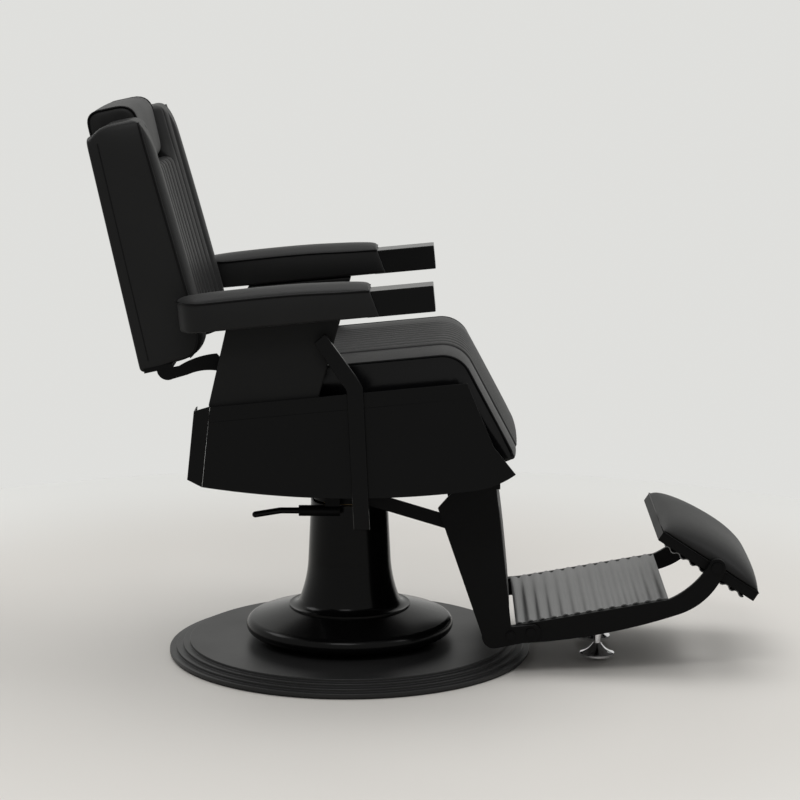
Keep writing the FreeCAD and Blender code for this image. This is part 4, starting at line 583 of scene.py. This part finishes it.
def seat_ring(station, line, sizes, inset=0.0):
    """A closed ring round the seat: floor, right band, channelled top, left band."""
    seam, outward, under, corner = station
    top = []
    for place in line:
        if abs(place) <= CHANNEL_EDGE:
            rise = BORDER_RISE + SEAT_CROWN * (1 - (place / CHANNEL_EDGE) ** 2)
            rise += sizes.channel_rise / MM * channel_bump(place)
        else:
            part = (abs(place) - CHANNEL_EDGE) / (SEAT_HALF - CHANNEL_EDGE)
            rise = BORDER_RISE * (1 - part) + sizes.seat_border_dome / MM * dome(2 * part - 1)
        point = seam + outward * (rise - inset)
        top.append((point.x, place * (1 - inset / SEAT_HALF), point.y))
    window = math.sin(math.pi * min(max((corner - 0.05) / 1.35, 0), 1)) ** 2
    fuller = 1 + FRONT_FULLNESS * smooth((seam.x + 60) / 200) * (1 - smooth(corner - 1))
    band = []
    for row in range(1, BAND_ROWS):
        part = row / BAND_ROWS
        point = seam.lerp(under, part) - outward * inset * (1 - part)
        swell = sizes.boxing_bulge / MM * fuller * math.sin(math.pi * min(part * 1.05, 1)) ** 0.7
        pucker = math.sin(corner * 17 + part * 5) * math.sin(math.pi * part) * window
        width = SEAT_HALF - 4.5 + swell - 3 * part + PUCKER * pucker - inset
        band.append((point.x, width, point.y))
    right = [(x, -y, z) for x, y, z in reversed(band)]
    floor_half = SEAT_HALF - 8 - inset
    floor = [(under.x, floor_half * share, under.y) for share in HIDDEN_SIDE]
    return floor + right + top + band


class CHAIR_OT_seat_cushion(bpy.types.Operator):
    """Channelled seat that rolls over the front edge into an apron, with side bands and piping"""
    bl_idname = "chair.seat_cushion"
    bl_label = "Seat cushion"

    def execute(self, context):
        sizes = context.scene.chair_sizes
        line, stitched = channel_line(SEAT_HALF)
        stations = seat_stations()
        rounds = len(HEM_ROUND)
        rings = [seat_ring(stations[0], line, sizes, 4)]
        rings += [seat_ring(station, line, sizes) for station in stations[1:-rounds]]
        rings += [seat_ring(station, line, sizes, inset)
                  for station, (_, inset) in zip(stations[-rounds:], HEM_ROUND)]
        around = len(rings[0])
        top_from = len(HIDDEN_SIDE) + BAND_ROWS - 1
        top_to = top_from + len(line) - 1
        sides = [0 if top_from <= index < top_to else 1 for index in range(around)]
        piece = sewn("seat_cover", [(rings, sides)], ("vinyl", "band"))
        tight = {top_from + index for index in stitched} | set(range(len(HIDDEN_SIDE) + 1)) | {around - 1}
        cushion(piece, sewn_down(rings, tight), 1.0, "seat", "seat_cushion")
        last, outward, *_ = stations[-rounds - 1]
        tucked = last - outward * 5
        for name, sign in SIDES.items():
            path = [(seam.x, sign * (SEAT_HALF + 0.4), seam.y) for seam, *_ in stations[1:-rounds - 1]]
            path.append((tucked.x, sign * (SEAT_HALF - 5), tucked.y))
            welt(f"seat_welt_{name}", path, "seat")
        return {"FINISHED"}


# The back drawn upright, in millimetres from its foot: depth forward, places across and rise
BACK_FOOT = (-330, 602)
BACK_LEAN = math.radians(12.2)
BACK_HALF = 252.0
BACK_TOP = 446.0
BACK_REAR = -36.4
BACK_LIP = -45.0
BACK_EDGE = 195.0
BACK_HOLLOW = 16.0
SEAM_DEPTH = 78.0
SEAM_TAPER = math.radians(3)
FOOT_DEPTH = 34.0
FOOT_ROUND = 54.0
ROLL_FROM = 378.0
PIPED_TO = 438.0
MIDDLE_TOP = 330.0
NOTCH_FLOOR = 346.0
# The rear cover's rolled edge: depth, and how far its outline draws in there
REAR_ROLL = ((-36, 0.4), (-38, 0), (-40.5, 0.3), (-42.6, 1.2), (-44.1, 2.8), (-45, 4.6), (-45.2, 6),
             (-45.2, 7))


def leaned(depth, across, rise):
    """A point of the back, drawn upright, in the chair's own frame."""
    return turned(BACK_FOOT, BACK_LEAN, depth, across, rise)


def back_seam(rise):
    """How far forward the back's side seam lies."""
    seam = SEAM_DEPTH - rise * math.tan(SEAM_TAPER)
    if rise < FOOT_ROUND:
        return FOOT_DEPTH + (seam - FOOT_DEPTH) * dome((FOOT_ROUND - rise) / FOOT_ROUND)
    return seam


def back_relief(place, rise, sizes):
    """How far the front stands off its side seams: full bolsters, and the hollow with its channels."""
    place = abs(place)
    if place >= BACK_EDGE:
        part = (BACK_HALF - place) / (BACK_HALF - BACK_EDGE)
        relief = BORDER_RISE * part + sizes.bolster_rise / MM * dome(2 * part - 1) ** 0.8
    else:
        relief = -BACK_HOLLOW + (BACK_HOLLOW + BORDER_RISE) * (place / BACK_EDGE) ** 2
        relief += sizes.channel_rise / MM * channel_bump(place, BACK_EDGE)
    if rise < FOOT_ROUND:
        return relief * dome((FOOT_ROUND - rise) / (FOOT_ROUND + 4))
    return min(relief, 13 - roll_off(25, rise - ROLL_FROM, BACK_TOP - ROLL_FROM))


def back_top_roll(rise):
    """How far the outer sides of the back roll inwards to its top."""
    return roll_off(13, rise - 392, 56)


def side_fullness(rise):
    """How far the back's sides swell between their seams, fuller towards the top."""
    return 2 + 2.5 * smooth((rise - 240) / 140)


def notch_roll(place, rise):
    """How far a bolster's inner edge rolls back beside the head rest."""
    near = min(max(1 - (place - CHANNEL_EDGE) / 34, 0), 1)
    return 26 * (1 - dome(near)) * smooth((rise - 336) / 26)


def bolster_ring(rise, sign, sizes, inset):
    """A level ring round one bolster: rear, outer side, full front with two channels, inner side."""
    seam = back_seam(rise)
    edge = seam + back_relief(BACK_HALF, rise, sizes)
    inner = CHANNEL_EDGE + 0.5
    full = side_fullness(rise)
    ring = [(BACK_REAR, inner + (BACK_HALF - inner) * part) for part in (0, 0.3, 0.6, 0.9)]
    ring.append((BACK_LIP, BACK_HALF - 5))
    lip = BACK_LIP + 2
    for part in (0, 0.05, 0.15, 0.35, 0.55, 0.75, 0.9, 0.97):
        ring.append((lip + (edge - lip) * part, BACK_HALF + full * math.sin(math.pi * part)))
    for step in range(14):
        place = BACK_HALF - (BACK_HALF - BACK_EDGE) * step / 14
        ring.append((seam + back_relief(place, rise, sizes), place - (0.6 if step == 0 else 0)))
    for channel in range(2):
        for step in CHANNEL_STEPS:
            place = BACK_EDGE - channel * PITCH - step
            ring.append((seam + back_relief(place, rise, sizes) - notch_roll(place, rise), place))
    front = seam + back_relief(inner, rise, sizes) - notch_roll(inner, rise)
    ring += [(BACK_REAR + (front - BACK_REAR) * part, inner - 0.5) for part in (1, 0.9, 0.6, 0.3)]
    middle_depth = (BACK_REAR + seam) / 2
    middle_width = (BACK_HALF + inner) / 2
    shrink_depth = 1 - inset / (seam - BACK_REAR) * 2
    shrink_width = 1 - inset / (BACK_HALF - inner) * 2
    top_roll = back_top_roll(rise)
    shrunk = []
    for depth, width in ring:
        fall = 16 * smooth((rise - 400) / 46) * (1 - dome(1 - min((depth - BACK_REAR) / 34, 1)))
        fall += 7 * (1 - smooth(rise / 24)) * (1 - smooth((depth - BACK_REAR) / 70))
        depth = middle_depth + (depth - middle_depth) * shrink_depth
        width = middle_width + (width - middle_width) * shrink_width
        width -= top_roll * smooth((width - BACK_EDGE) / (BACK_HALF - BACK_EDGE))
        shrunk.append(leaned(depth, sign * width, rise - fall))
    return shrunk


def back_levels():
    """Rises of the back's rings, close together where it rounds off."""
    low = [0, 1.5, 4, 8, 14, 22, 32, 42, FOOT_ROUND]
    plain = [FOOT_ROUND + (ROLL_FROM - FOOT_ROUND) * step / 22 for step in range(1, 22)]
    return low + plain + [ROLL_FROM, 388, 398, 408, 417, 425, 432, 437, 440.5, 443, 445, BACK_TOP]


def end_round(rise, foot, top, radius):
    """How far a ring draws in where a piece rounds off at its foot and top."""
    low = radius - (rise - foot)
    high = radius - (top - rise)
    near = max(low, high, 0) / radius
    return radius * (1 - dome(near)) * 0.8


def drawn_in(outline, distance):
    """Moves a closed outline, drawn anticlockwise, inwards, or outwards by a negative distance."""
    moved = []
    for index, point in enumerate(outline):
        along = outline[(index + 1) % len(outline)] - outline[index - 1]
        moved.append(point + Vector((-along.y, along.x)).normalized() * distance)
    return moved


def back_rear_cover():
    """The rear panel of the back, padded thinly under its vinyl and rolled at the edges."""
    notch = CHANNEL_EDGE - 2
    half = BACK_HALF - 5.5
    top = BACK_TOP - 15
    outline = rounded([(-half, -7, 14), (half, -7, 14), (half, top, 24), (notch, top, 14),
                       (notch, NOTCH_FLOOR, 6), (-notch, NOTCH_FLOOR, 6), (-notch, top, 14),
                       (-half, top, 24)], 6)
    rings = [[leaned(depth, point.x, point.y) for point in drawn_in(outline, inset)]
             for depth, inset in REAR_ROLL]
    piece = sewn("back_rear_cover", [(rings, None)], ("panel",), ())
    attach(piece, "back")
    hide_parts("back_rear_panel")


class CHAIR_OT_back_cushion(bpy.types.Operator):
    """Back with full side bolsters, a hollow channelled middle and a notch for the head rest"""
    bl_idname = "chair.back_cushion"
    bl_label = "Back cushion"

    def execute(self, context):
        sizes = context.scene.chair_sizes
        shells, held, total = [], [], 0
        for sign in SIDES.values():
            rings = [bolster_ring(rise, sign, sizes, end_round(rise, 0, BACK_TOP, 9))
                     for rise in back_levels()]
            shells.append((rings, None))
            around = len(rings[0])
            tight = {0, 1, 2, 3, 4, 5, 13, 27, 37, *range(47, around)}
            held += sewn_down(rings, tight, total, False)
            total += around * len(rings)
        line = [-CHANNEL_EDGE - 1, *channel_places(), CHANNEL_EDGE, CHANNEL_EDGE + 1]
        rings = self.middle(line, sizes)
        shells.append((rings, None))
        tight = {0, 1, *range(len(line) - 2, len(rings[0]))}
        tight |= {1 + channel * len(CHANNEL_STEPS) for channel in range(CHANNELS + 1)}
        held += sewn_down(rings, tight, total)
        cushion(sewn("back_cover", shells), held, 1.0, "back", "back_cushion")
        back_rear_cover()
        for name, sign in SIDES.items():
            self.piping(name, sign, sizes)
        return {"FINISHED"}

    def middle(self, line, sizes):
        """Rings of the channelled middle, up to its roll under the head rest."""
        rings = []
        for rise in [level for level in back_levels() if level < MIDDLE_TOP] + [332, 337, 341, 344, 346]:
            seam = back_seam(rise) - roll_off(16, rise - MIDDLE_TOP, 16)
            front = [leaned(seam + back_relief(place, min(rise, 340), sizes), place, rise) for place in line]
            rings.append(front + [leaned(BACK_REAR, CHANNEL_EDGE * part, rise) for part in HIDDEN_SIDE])
        return rings

    def piping(self, name, sign, sizes):
        """Piping along a side's front seam, tucked in at the top, and the stitch line near its rear edge."""
        front, rear = [], []
        for rise in [level for level in back_levels() if 3 < level < PIPED_TO]:
            roll = back_top_roll(rise)
            depth = back_seam(rise) + back_relief(BACK_HALF, rise, sizes)
            front.append(leaned(depth, sign * (BACK_HALF - 0.8 - roll), rise))
            if 8 < rise < 420:
                width = BACK_HALF + 0.6 + side_fullness(rise) / 2 - roll
                rear.append(leaned(BACK_REAR + 12, sign * width, rise))
        front.append(leaned(back_seam(PIPED_TO) - 22, sign * (BACK_HALF - 26), 432))
        welt(f"back_welt_front_{name}", front, "back", 2.5)
        welt(f"back_stitch_rear_{name}", rear, "back", 0.9)


def rounded(corners, steps):
    """A closed outline with rounded corners (x, y, radius) and extra points on its straight sides."""
    outline = []
    for index, (x, y, radius) in enumerate(corners):
        following = corners[(index + 1) % len(corners)]
        here = Vector((x, y))
        before = Vector(corners[index - 1][:2]) - here
        after = Vector(following[:2]) - here
        start = here + before.normalized() * radius
        end = here + after.normalized() * radius
        for step in range(steps + 1):
            part = step / steps
            outline.append(start * (1 - part) ** 2 + here * 2 * part * (1 - part) + end * part ** 2)
        reach = Vector(following[:2]) - after.normalized() * following[2]
        outline += [end.lerp(reach, part / 4) for part in (1, 2, 3)]
    return outline


HEAD_HALF = 136.0
HEAD_CORNERS = ((-49, 351.5, 8), (41, 351.5, 24), (41, 469, 34), (-49, 469, 24))
# How far the end panels stand out, and their share of the outline there
HEAD_ENDS = ((5.2, 0.45), (4.4, 0.7), (2.6, 0.88))
HEAD_ROWS = 24


class CHAIR_OT_head_rest(bpy.types.Operator):
    """Head rest pillow with piped end panels"""
    bl_idname = "chair.head_rest"
    bl_label = "Head rest"

    def execute(self, context):
        crown = context.scene.chair_sizes.head_crown / MM
        outline = rounded(HEAD_CORNERS, 7)
        middle = sum(outline, Vector((0, 0))) / len(outline)

        def ring(across, spots):
            return [leaned(spot.x, across, spot.y) for spot in spots]

        ends = [(HEAD_HALF + out, [middle.lerp(spot, share) for spot in outline]) for out, share in HEAD_ENDS]
        rings = [ring(-across, spots) for across, spots in ends]
        for row in range(HEAD_ROWS + 1):
            across = -HEAD_HALF + 2 * HEAD_HALF * row / HEAD_ROWS
            swell = crown * dome(across / HEAD_HALF) ** 0.8
            rings.append(ring(across, drawn_in(outline, -swell)))
        rings += [ring(across, spots) for across, spots in reversed(ends)]
        piece = sewn("head_cover", [(rings, None)])
        around = len(outline)
        seams = (len(ends), len(rings) - len(ends) - 1)
        held = [row * around + index for row in seams for index in range(around)]
        cushion(piece, held, 0.6, "headrest", "headrest_pad")
        for name, sign in SIDES.items():
            path = ring(sign * (HEAD_HALF - 0.3), drawn_in(outline, 0.2))
            welt(f"head_welt_{name}", path, "headrest", 2.2, True)
        return {"FINISHED"}


# An arm pad, in millimetres along its tilted base
ARM_BASE = (0, 697)
ARM_TILT = math.radians(5.4)
ARM_ACROSS = 302.0
ARM_REAR = -294.0
ARM_HALF = 44.5
ARM_SEAM = 53.5
ARM_ROUND = 42.0
ARM_STEPS = [0, 0.4, 1.5, 3.5, 7, 12, 18, 26, 36, 50, 70]
ARM_STEPS += [70 + 210 * step / 9 for step in range(1, 10)] + [300, 320, 336, 347, 354, 358.5, 360]
ARM_WALL = (0.04, 0.12, 0.3, 0.5, 0.7, 0.88, 0.96)


def arm_ring(reach, middle, crown):
    """A ring round an arm pad, a reach from its rear end, and the ring's two seam points."""
    plan = dome((ARM_ROUND - reach) / ARM_ROUND) if reach < ARM_ROUND else 1.0
    tip = dome(max((reach - 350) / 11, 0))
    width = ARM_HALF * max(plan, 0.05) * (1 - 0.06 * (1 - tip))
    lift = crown * dome(max(1 - reach / 64, 0)) * (0.35 + 0.65 * dome(max((reach - 296) / 72, 0)))
    level = ARM_SEAM + 3 * (1 - smooth(reach / 45)) + 1.5 * math.sin(math.pi * smooth(reach / 330))
    level -= 3 * smooth((reach - 200) / 160) + 3 * (1 - tip)
    foot = 1.0 + 8 * (1 - plan) ** 2

    def point(across, up):
        rake = 15 * up / 56 * smooth((reach - 200) / 150)
        return turned(ARM_BASE, ARM_TILT, ARM_REAR + reach - rake, middle + across, up)

    walls = [(width * (0.94 + 0.06 * math.sin(math.pi * part) ** 0.6), foot + (level - foot) * part)
             for part in ARM_WALL]
    ring = [point(width * share, foot) for share in (-0.8, -0.4, 0, 0.4, 0.8)]
    ring += [point(across, up) for across, up in walls]
    for step in range(17):
        share = math.cos(math.pi * step / 16)
        ring.append(point(width * 0.965 * share, level + lift * dome(share) ** 1.2))
    ring += [point(-across, up) for across, up in reversed(walls)]
    return ring, point(-width * 0.975, level), point(width * 0.975, level)


class CHAIR_OT_arm_pads(bpy.types.Operator):
    """Arm pads with a round rear end, a raked front and a piped seam under the crowned top"""
    bl_idname = "chair.arm_pads"
    bl_label = "Arm pads"

    def execute(self, context):
        crown = context.scene.chair_sizes.arm_crown / MM
        for name, sign in SIDES.items():
            rounds = [arm_ring(reach, ARM_ACROSS * sign, crown) for reach in ARM_STEPS]
            rings = [ring for ring, *_ in rounds]
            piece = sewn(f"arm_cover_{name}", [(rings, None)])
            held = sewn_down(rings, {0, 1, 2, 3, 4, 12, 28})
            cushion(piece, held, 0.5, "seat", f"arm_pad_{name}")
            path = [right for _, right, _ in reversed(rounds)] + [left for *_, left in rounds]
            welt(f"arm_welt_{name}", path, "seat", 2.1)
        return {"FINISHED"}


CALF_FOOT = (284.4, 99)
CALF_LEAN = math.radians(5.5)
FLIP_HINGE = (692, 210)
FLIP_TILT = math.radians(-33)
# The flip pad from its rear edge to its front one: share of the way, and share of its crown
FLIP_PROFILE = (
    (0, 0.03), (0.006, 0.2), (0.02, 0.38), (0.05, 0.52), (0.1, 0.65), (0.17, 0.77), (0.26, 0.87),
    (0.36, 0.94), (0.47, 0.985), (0.58, 1.0), (0.68, 0.97), (0.77, 0.89), (0.85, 0.77), (0.91, 0.62),
    (0.955, 0.43), (0.985, 0.23), (1, 0.05),
)


class CHAIR_OT_leg_pads(bpy.types.Operator):
    """Calf pad between the leg plates and the crowned flip pad on its tray"""
    bl_idname = "chair.leg_pads"
    bl_label = "Calf and flip pads"

    def execute(self, context):
        sizes = context.scene.chair_sizes
        self.calf_pad(sizes.calf_crown / MM)
        self.flip_pad(sizes.flip_crown / MM)
        return {"FINISHED"}

    def calf_pad(self, crown):
        half, height, thick = 186.0, 235.0, 22.0
        outline = rounded([(-half, 0, 6), (half, 0, 6), (half, thick, 16), (-half, thick, 16)], 6)
        levels = [0, 1.5, 5, 10, 17] + [17 + 201 * step / 14 for step in range(1, 14)]
        levels += [218, 225, 230, 233.5, height]
        rings = []
        for rise in levels:
            draw = end_round(rise, 0, height, 17) * 0.9
            swell = crown * dome((rise - height / 2) / (height / 2)) ** 0.7
            ring = []
            for spot in outline:
                front = spot.y / thick
                depth = spot.y - draw * front + swell * front * dome(spot.x / (half + 2))
                across = spot.x * (1 - 0.012 * draw / 10)
                ring.append(turned(CALF_FOOT, CALF_LEAN, depth, across, rise))
            rings.append(ring)
        piece = sewn("calf_cover", [(rings, None)])
        board_side = [index for index, spot in enumerate(outline) if spot.y < 4]
        cushion(piece, sewn_down(rings, board_side), 0.6, "leg", "calf_pad")

    def flip_pad(self, crown):
        half, rear, front = 174.0, -118.6, 95.6

        def point(along, across, up):
            return turned(FLIP_HINGE, FLIP_TILT, along, across, up)

        rings = []
        for part, rise in FLIP_PROFILE:
            along = rear + (front - rear) * part
            end = 1 - 0.05 * (1 - dome(2 * part - 1)) ** 2
            ring = [point(along, half * end * share, 0.5) for share in (-0.9, -0.45, 0, 0.45, 0.9)]
            for step in range(25):
                turn = math.pi * step / 24
                side = math.copysign(abs(math.cos(turn)) ** 0.62, math.cos(turn))
                ring.append(point(along, half * end * side, 0.8 + crown * rise * math.sin(turn) ** 0.75))
            rings.append(ring)
        piece = sewn("flip_cover", [(rings, None)])
        held = sewn_down(rings, {0, 1, 2, 3, 4, 5, len(rings[0]) - 1})
        cushion(piece, held, 0.6, "flip", "flip_pad")
        hem = [(rear, -half), (front, -half), (front, half), (rear, half)]
        path = [point(along, across, 0.4) for along, across in hem]
        welt("flip_welt", path, "flip", 1.2, True)


# Dark strips along the sides of the ribbed foot plate: painted shade, laid where the open rib ends show only
# shade
SHADE_STRIP_START = (300.3, 93.2)
SHADE_STRIP_SLOPE = math.radians(10)
SHADE_STRIP_SPAN = (19, 307)
SHADE_STRIP_ACROSS = 175.2


class CHAIR_OT_metalwork(bpy.types.Operator):
    """Finishes and softened edges for the pieces that the CAD model carries"""
    bl_idname = "chair.metalwork"
    bl_label = "Metalwork and boards"
    # Rounding of the edges, in millimetres
    EDGES = {
        "skirt_right": 0.4, "skirt_left": 0.4, "rear_panel": 0.4, "arm_panel_right": 3, "arm_panel_left": 3,
        "arm_bar_right": 1.6, "arm_bar_left": 1.6, "pump_lever": 1.8, "leg_plates": 1.2, "foot_arms": 1.2,
        "back_arm_right": 1.4, "back_arm_left": 1.4, "flip_tray": 1.2, "side_plates": 0.8,
        "link_bars": 0.8, "base_plate": 1.2, "foot_stay": 1.0, "seat_board": 1.0, "calf_board": 1.0,
    }

    def execute(self, context):
        for part in frame["record"]["subparts"]:
            node = frame["nodes"][part["node"]]
            node.data.materials.clear()
            # The base plate takes the lighter copy of the satin black, painted light on its upward face
            slot = "base_enamel" if part["node"] == "base_plate" else part["material_slot"]
            node.data.materials.append(finishes[slot])
            if part["node"] in self.EDGES:
                self.soften(node, self.EDGES[part["node"]] * MM)
        # Dark strips on the foot arms: painted shade over the open ends of the plate's ribs
        for name, sign in SIDES.items():
            path = [turned(SHADE_STRIP_START, SHADE_STRIP_SLOPE, reach, sign * SHADE_STRIP_ACROSS, 0) for reach in SHADE_STRIP_SPAN]
            welt(f"foot_plate_shade_strip_{name}", path, "leg", 2.2, False, "satin_black")
        return {"FINISHED"}

    def soften(self, node, width):
        weld = node.modifiers.new("weld", "WELD")
        weld.merge_threshold = 0.00002
        flat = node.modifiers.new("flat", "DECIMATE")
        flat.decimate_type = "DISSOLVE"
        flat.angle_limit = math.radians(0.5)
        bevel = node.modifiers.new("edges", "BEVEL")
        bevel.width = width
        bevel.segments = 3
        bevel.limit_method = "ANGLE"
        bevel.angle_limit = math.radians(38)
        shade = node.modifiers.new("shade", "WEIGHTED_NORMAL")
        shade.keep_sharp = True


# Lamps: place, target, width in metres and power in watts
LAMPS = {
    "ceiling_light": ((0.3, 0.5, 3.2), (0.1, 0, 0.5), 3.0, 40),
    "side_light": ((-0.3, -2.4, 3.0), (0, -0.2, 0.7), 1.4, 26),
    "front_light": ((3.2, -0.6, 2.6), (0.2, 0, 0.6), 1.8, 24),
    "rear_light": ((-2.6, 1.0, 2.6), (0, 0, 0.7), 1.6, 18),
}
CAMERA_PLACE = (0.166, -5.0, 1.387)
CAMERA_TURN = math.radians(0.78)
CAMERA_DIP = math.radians(10.13)
CAMERA_LENS = 119.07
FLOOR_RADIUS = 1.75
FLOOR_SIDES = 96
FADE_FROM = 0.9
SKY_LOW = (0.05, 0.05, 0.052)
SKY_HIGH = (0.7, 0.7, 0.69)


class CHAIR_OT_stage(bpy.types.Operator):
    """Pale floor and surroundings, soft studio light and the camera"""
    bl_idname = "chair.stage"
    bl_label = "Stage, light and camera"

    def execute(self, context):
        scene = context.scene
        tint = scene.chair_colours
        scene.view_settings.view_transform = "Standard"
        self.floor(tint)
        self.sky(scene, tint)
        for name, lamp in LAMPS.items():
            self.lamp(name, *lamp)
        camera = put("camera", bpy.data.cameras.new("camera"))
        camera.location = CAMERA_PLACE
        camera.rotation_euler = (math.pi / 2 - CAMERA_DIP, 0, CAMERA_TURN)
        camera.data.sensor_width = 36
        camera.data.lens = CAMERA_LENS
        scene.camera = camera
        return {"FINISHED"}

    def floor(self, tint):
        """A round pale floor under the chair, fading to the surroundings at its rim."""
        turns = [math.tau * step / FLOOR_SIDES for step in range(FLOOR_SIDES)]
        rim = [(FLOOR_RADIUS * math.cos(turn), FLOOR_RADIUS * math.sin(turn), 0) for turn in turns]
        mesh = bpy.data.meshes.new("floor")
        mesh.from_pydata(rim, [], [tuple(range(FLOOR_SIDES))])
        material, tree, shader = new_finish("floor_paint")
        reach = tree.nodes.new("ShaderNodeVectorMath")
        reach.operation = "LENGTH"
        tree.links.new(own_place(tree), reach.inputs[0])
        fade = soft_ramp(tree, reach.outputs["Value"], FADE_FROM, FLOOR_RADIUS)
        add_shades(tree, shader, fade, tint.floor, tint.wall)
        preset(shader, {"Roughness": 0.6})
        mesh.materials.append(material)
        sheet = put("floor", mesh)

    def sky(self, scene, tint):
        """Bright overhead and dim round the horizon, with pale surroundings for camera and reflections."""
        world = bpy.data.worlds.new("studio")
        world.use_nodes = True
        tree = world.node_tree
        link = tree.links.new
        glow = tree.nodes["Background"]
        height = tree.nodes.new("ShaderNodeSeparateXYZ")
        link(tree.nodes.new("ShaderNodeTexCoord").outputs["Generated"], height.inputs[0])
        ramp = soft_ramp(tree, height.outputs["Z"], 0.05, 0.85)
        link(between(tree, ramp, SKY_LOW, SKY_HIGH), glow.inputs["Color"])
        plain = tree.nodes.new("ShaderNodeBackground")
        preset(plain, {"Color": (*tint.wall, 1)})
        seen = tree.nodes.new("ShaderNodeLightPath")
        choice = tree.nodes.new("ShaderNodeMixShader")
        shown = math_node(tree, "MAXIMUM", seen.outputs["Is Camera Ray"], seen.outputs["Is Glossy Ray"])
        shown = math_node(tree, "MAXIMUM", shown, seen.outputs["Is Transmission Ray"])
        link(shown, choice.inputs[0])
        link(glow.outputs[0], choice.inputs[1])
        link(plain.outputs[0], choice.inputs[2])
        link(choice.outputs[0], tree.nodes["World Output"].inputs["Surface"])
        scene.world = world

    def lamp(self, name, place, target, width, power):
        data = bpy.data.lights.new(name, "AREA")
        data.shape = "RECTANGLE"
        data.size = width
        data.size_y = width * 0.6
        data.energy = power
        lamp = put(name, data)
        lamp.location = place
        lamp.rotation_euler = (Vector(target) - Vector(place)).to_track_quat("-Z", "Y").to_euler()


class CHAIR_PT_builder(bpy.types.Panel):
    """Lists the steps that dress the chair"""
    bl_label = "Barber Chair"
    bl_idname = "CHAIR_PT_builder"
    bl_space_type = "VIEW_3D"
    bl_region_type = "UI"
    bl_category = "Chair"

    def draw(self, context):
        layout = self.layout
        for step in STEPS:
            layout.operator(step.bl_idname)
        for settings in (context.scene.chair_sizes, context.scene.chair_colours):
            box = layout.box()
            for field in settings.__annotations__:
                box.prop(settings, field)


STEPS = (CHAIR_OT_stage, CHAIR_OT_metalwork, CHAIR_OT_seat_cushion, CHAIR_OT_back_cushion, CHAIR_OT_head_rest,
         CHAIR_OT_arm_pads, CHAIR_OT_leg_pads)
CLASSES = (ChairSizes, ChairColours, *STEPS, CHAIR_PT_builder)


def register():
    for item in CLASSES:
        bpy.utils.register_class(item)
    bpy.types.Scene.chair_sizes = bpy.props.PointerProperty(type=ChairSizes)
    bpy.types.Scene.chair_colours = bpy.props.PointerProperty(type=ChairColours)


def unregister():
    del bpy.types.Scene.chair_colours
    del bpy.types.Scene.chair_sizes
    for item in reversed(CLASSES):
        bpy.utils.unregister_class(item)


def main():
    register()
    mix_finishes()
    bpy.ops.chair.stage()
    bpy.ops.chair.metalwork()
    bpy.ops.chair.seat_cushion()
    bpy.ops.chair.back_cushion()
    bpy.ops.chair.head_rest()
    bpy.ops.chair.arm_pads()
    bpy.ops.chair.leg_pads()


if __name__ == "__main__":
    main()
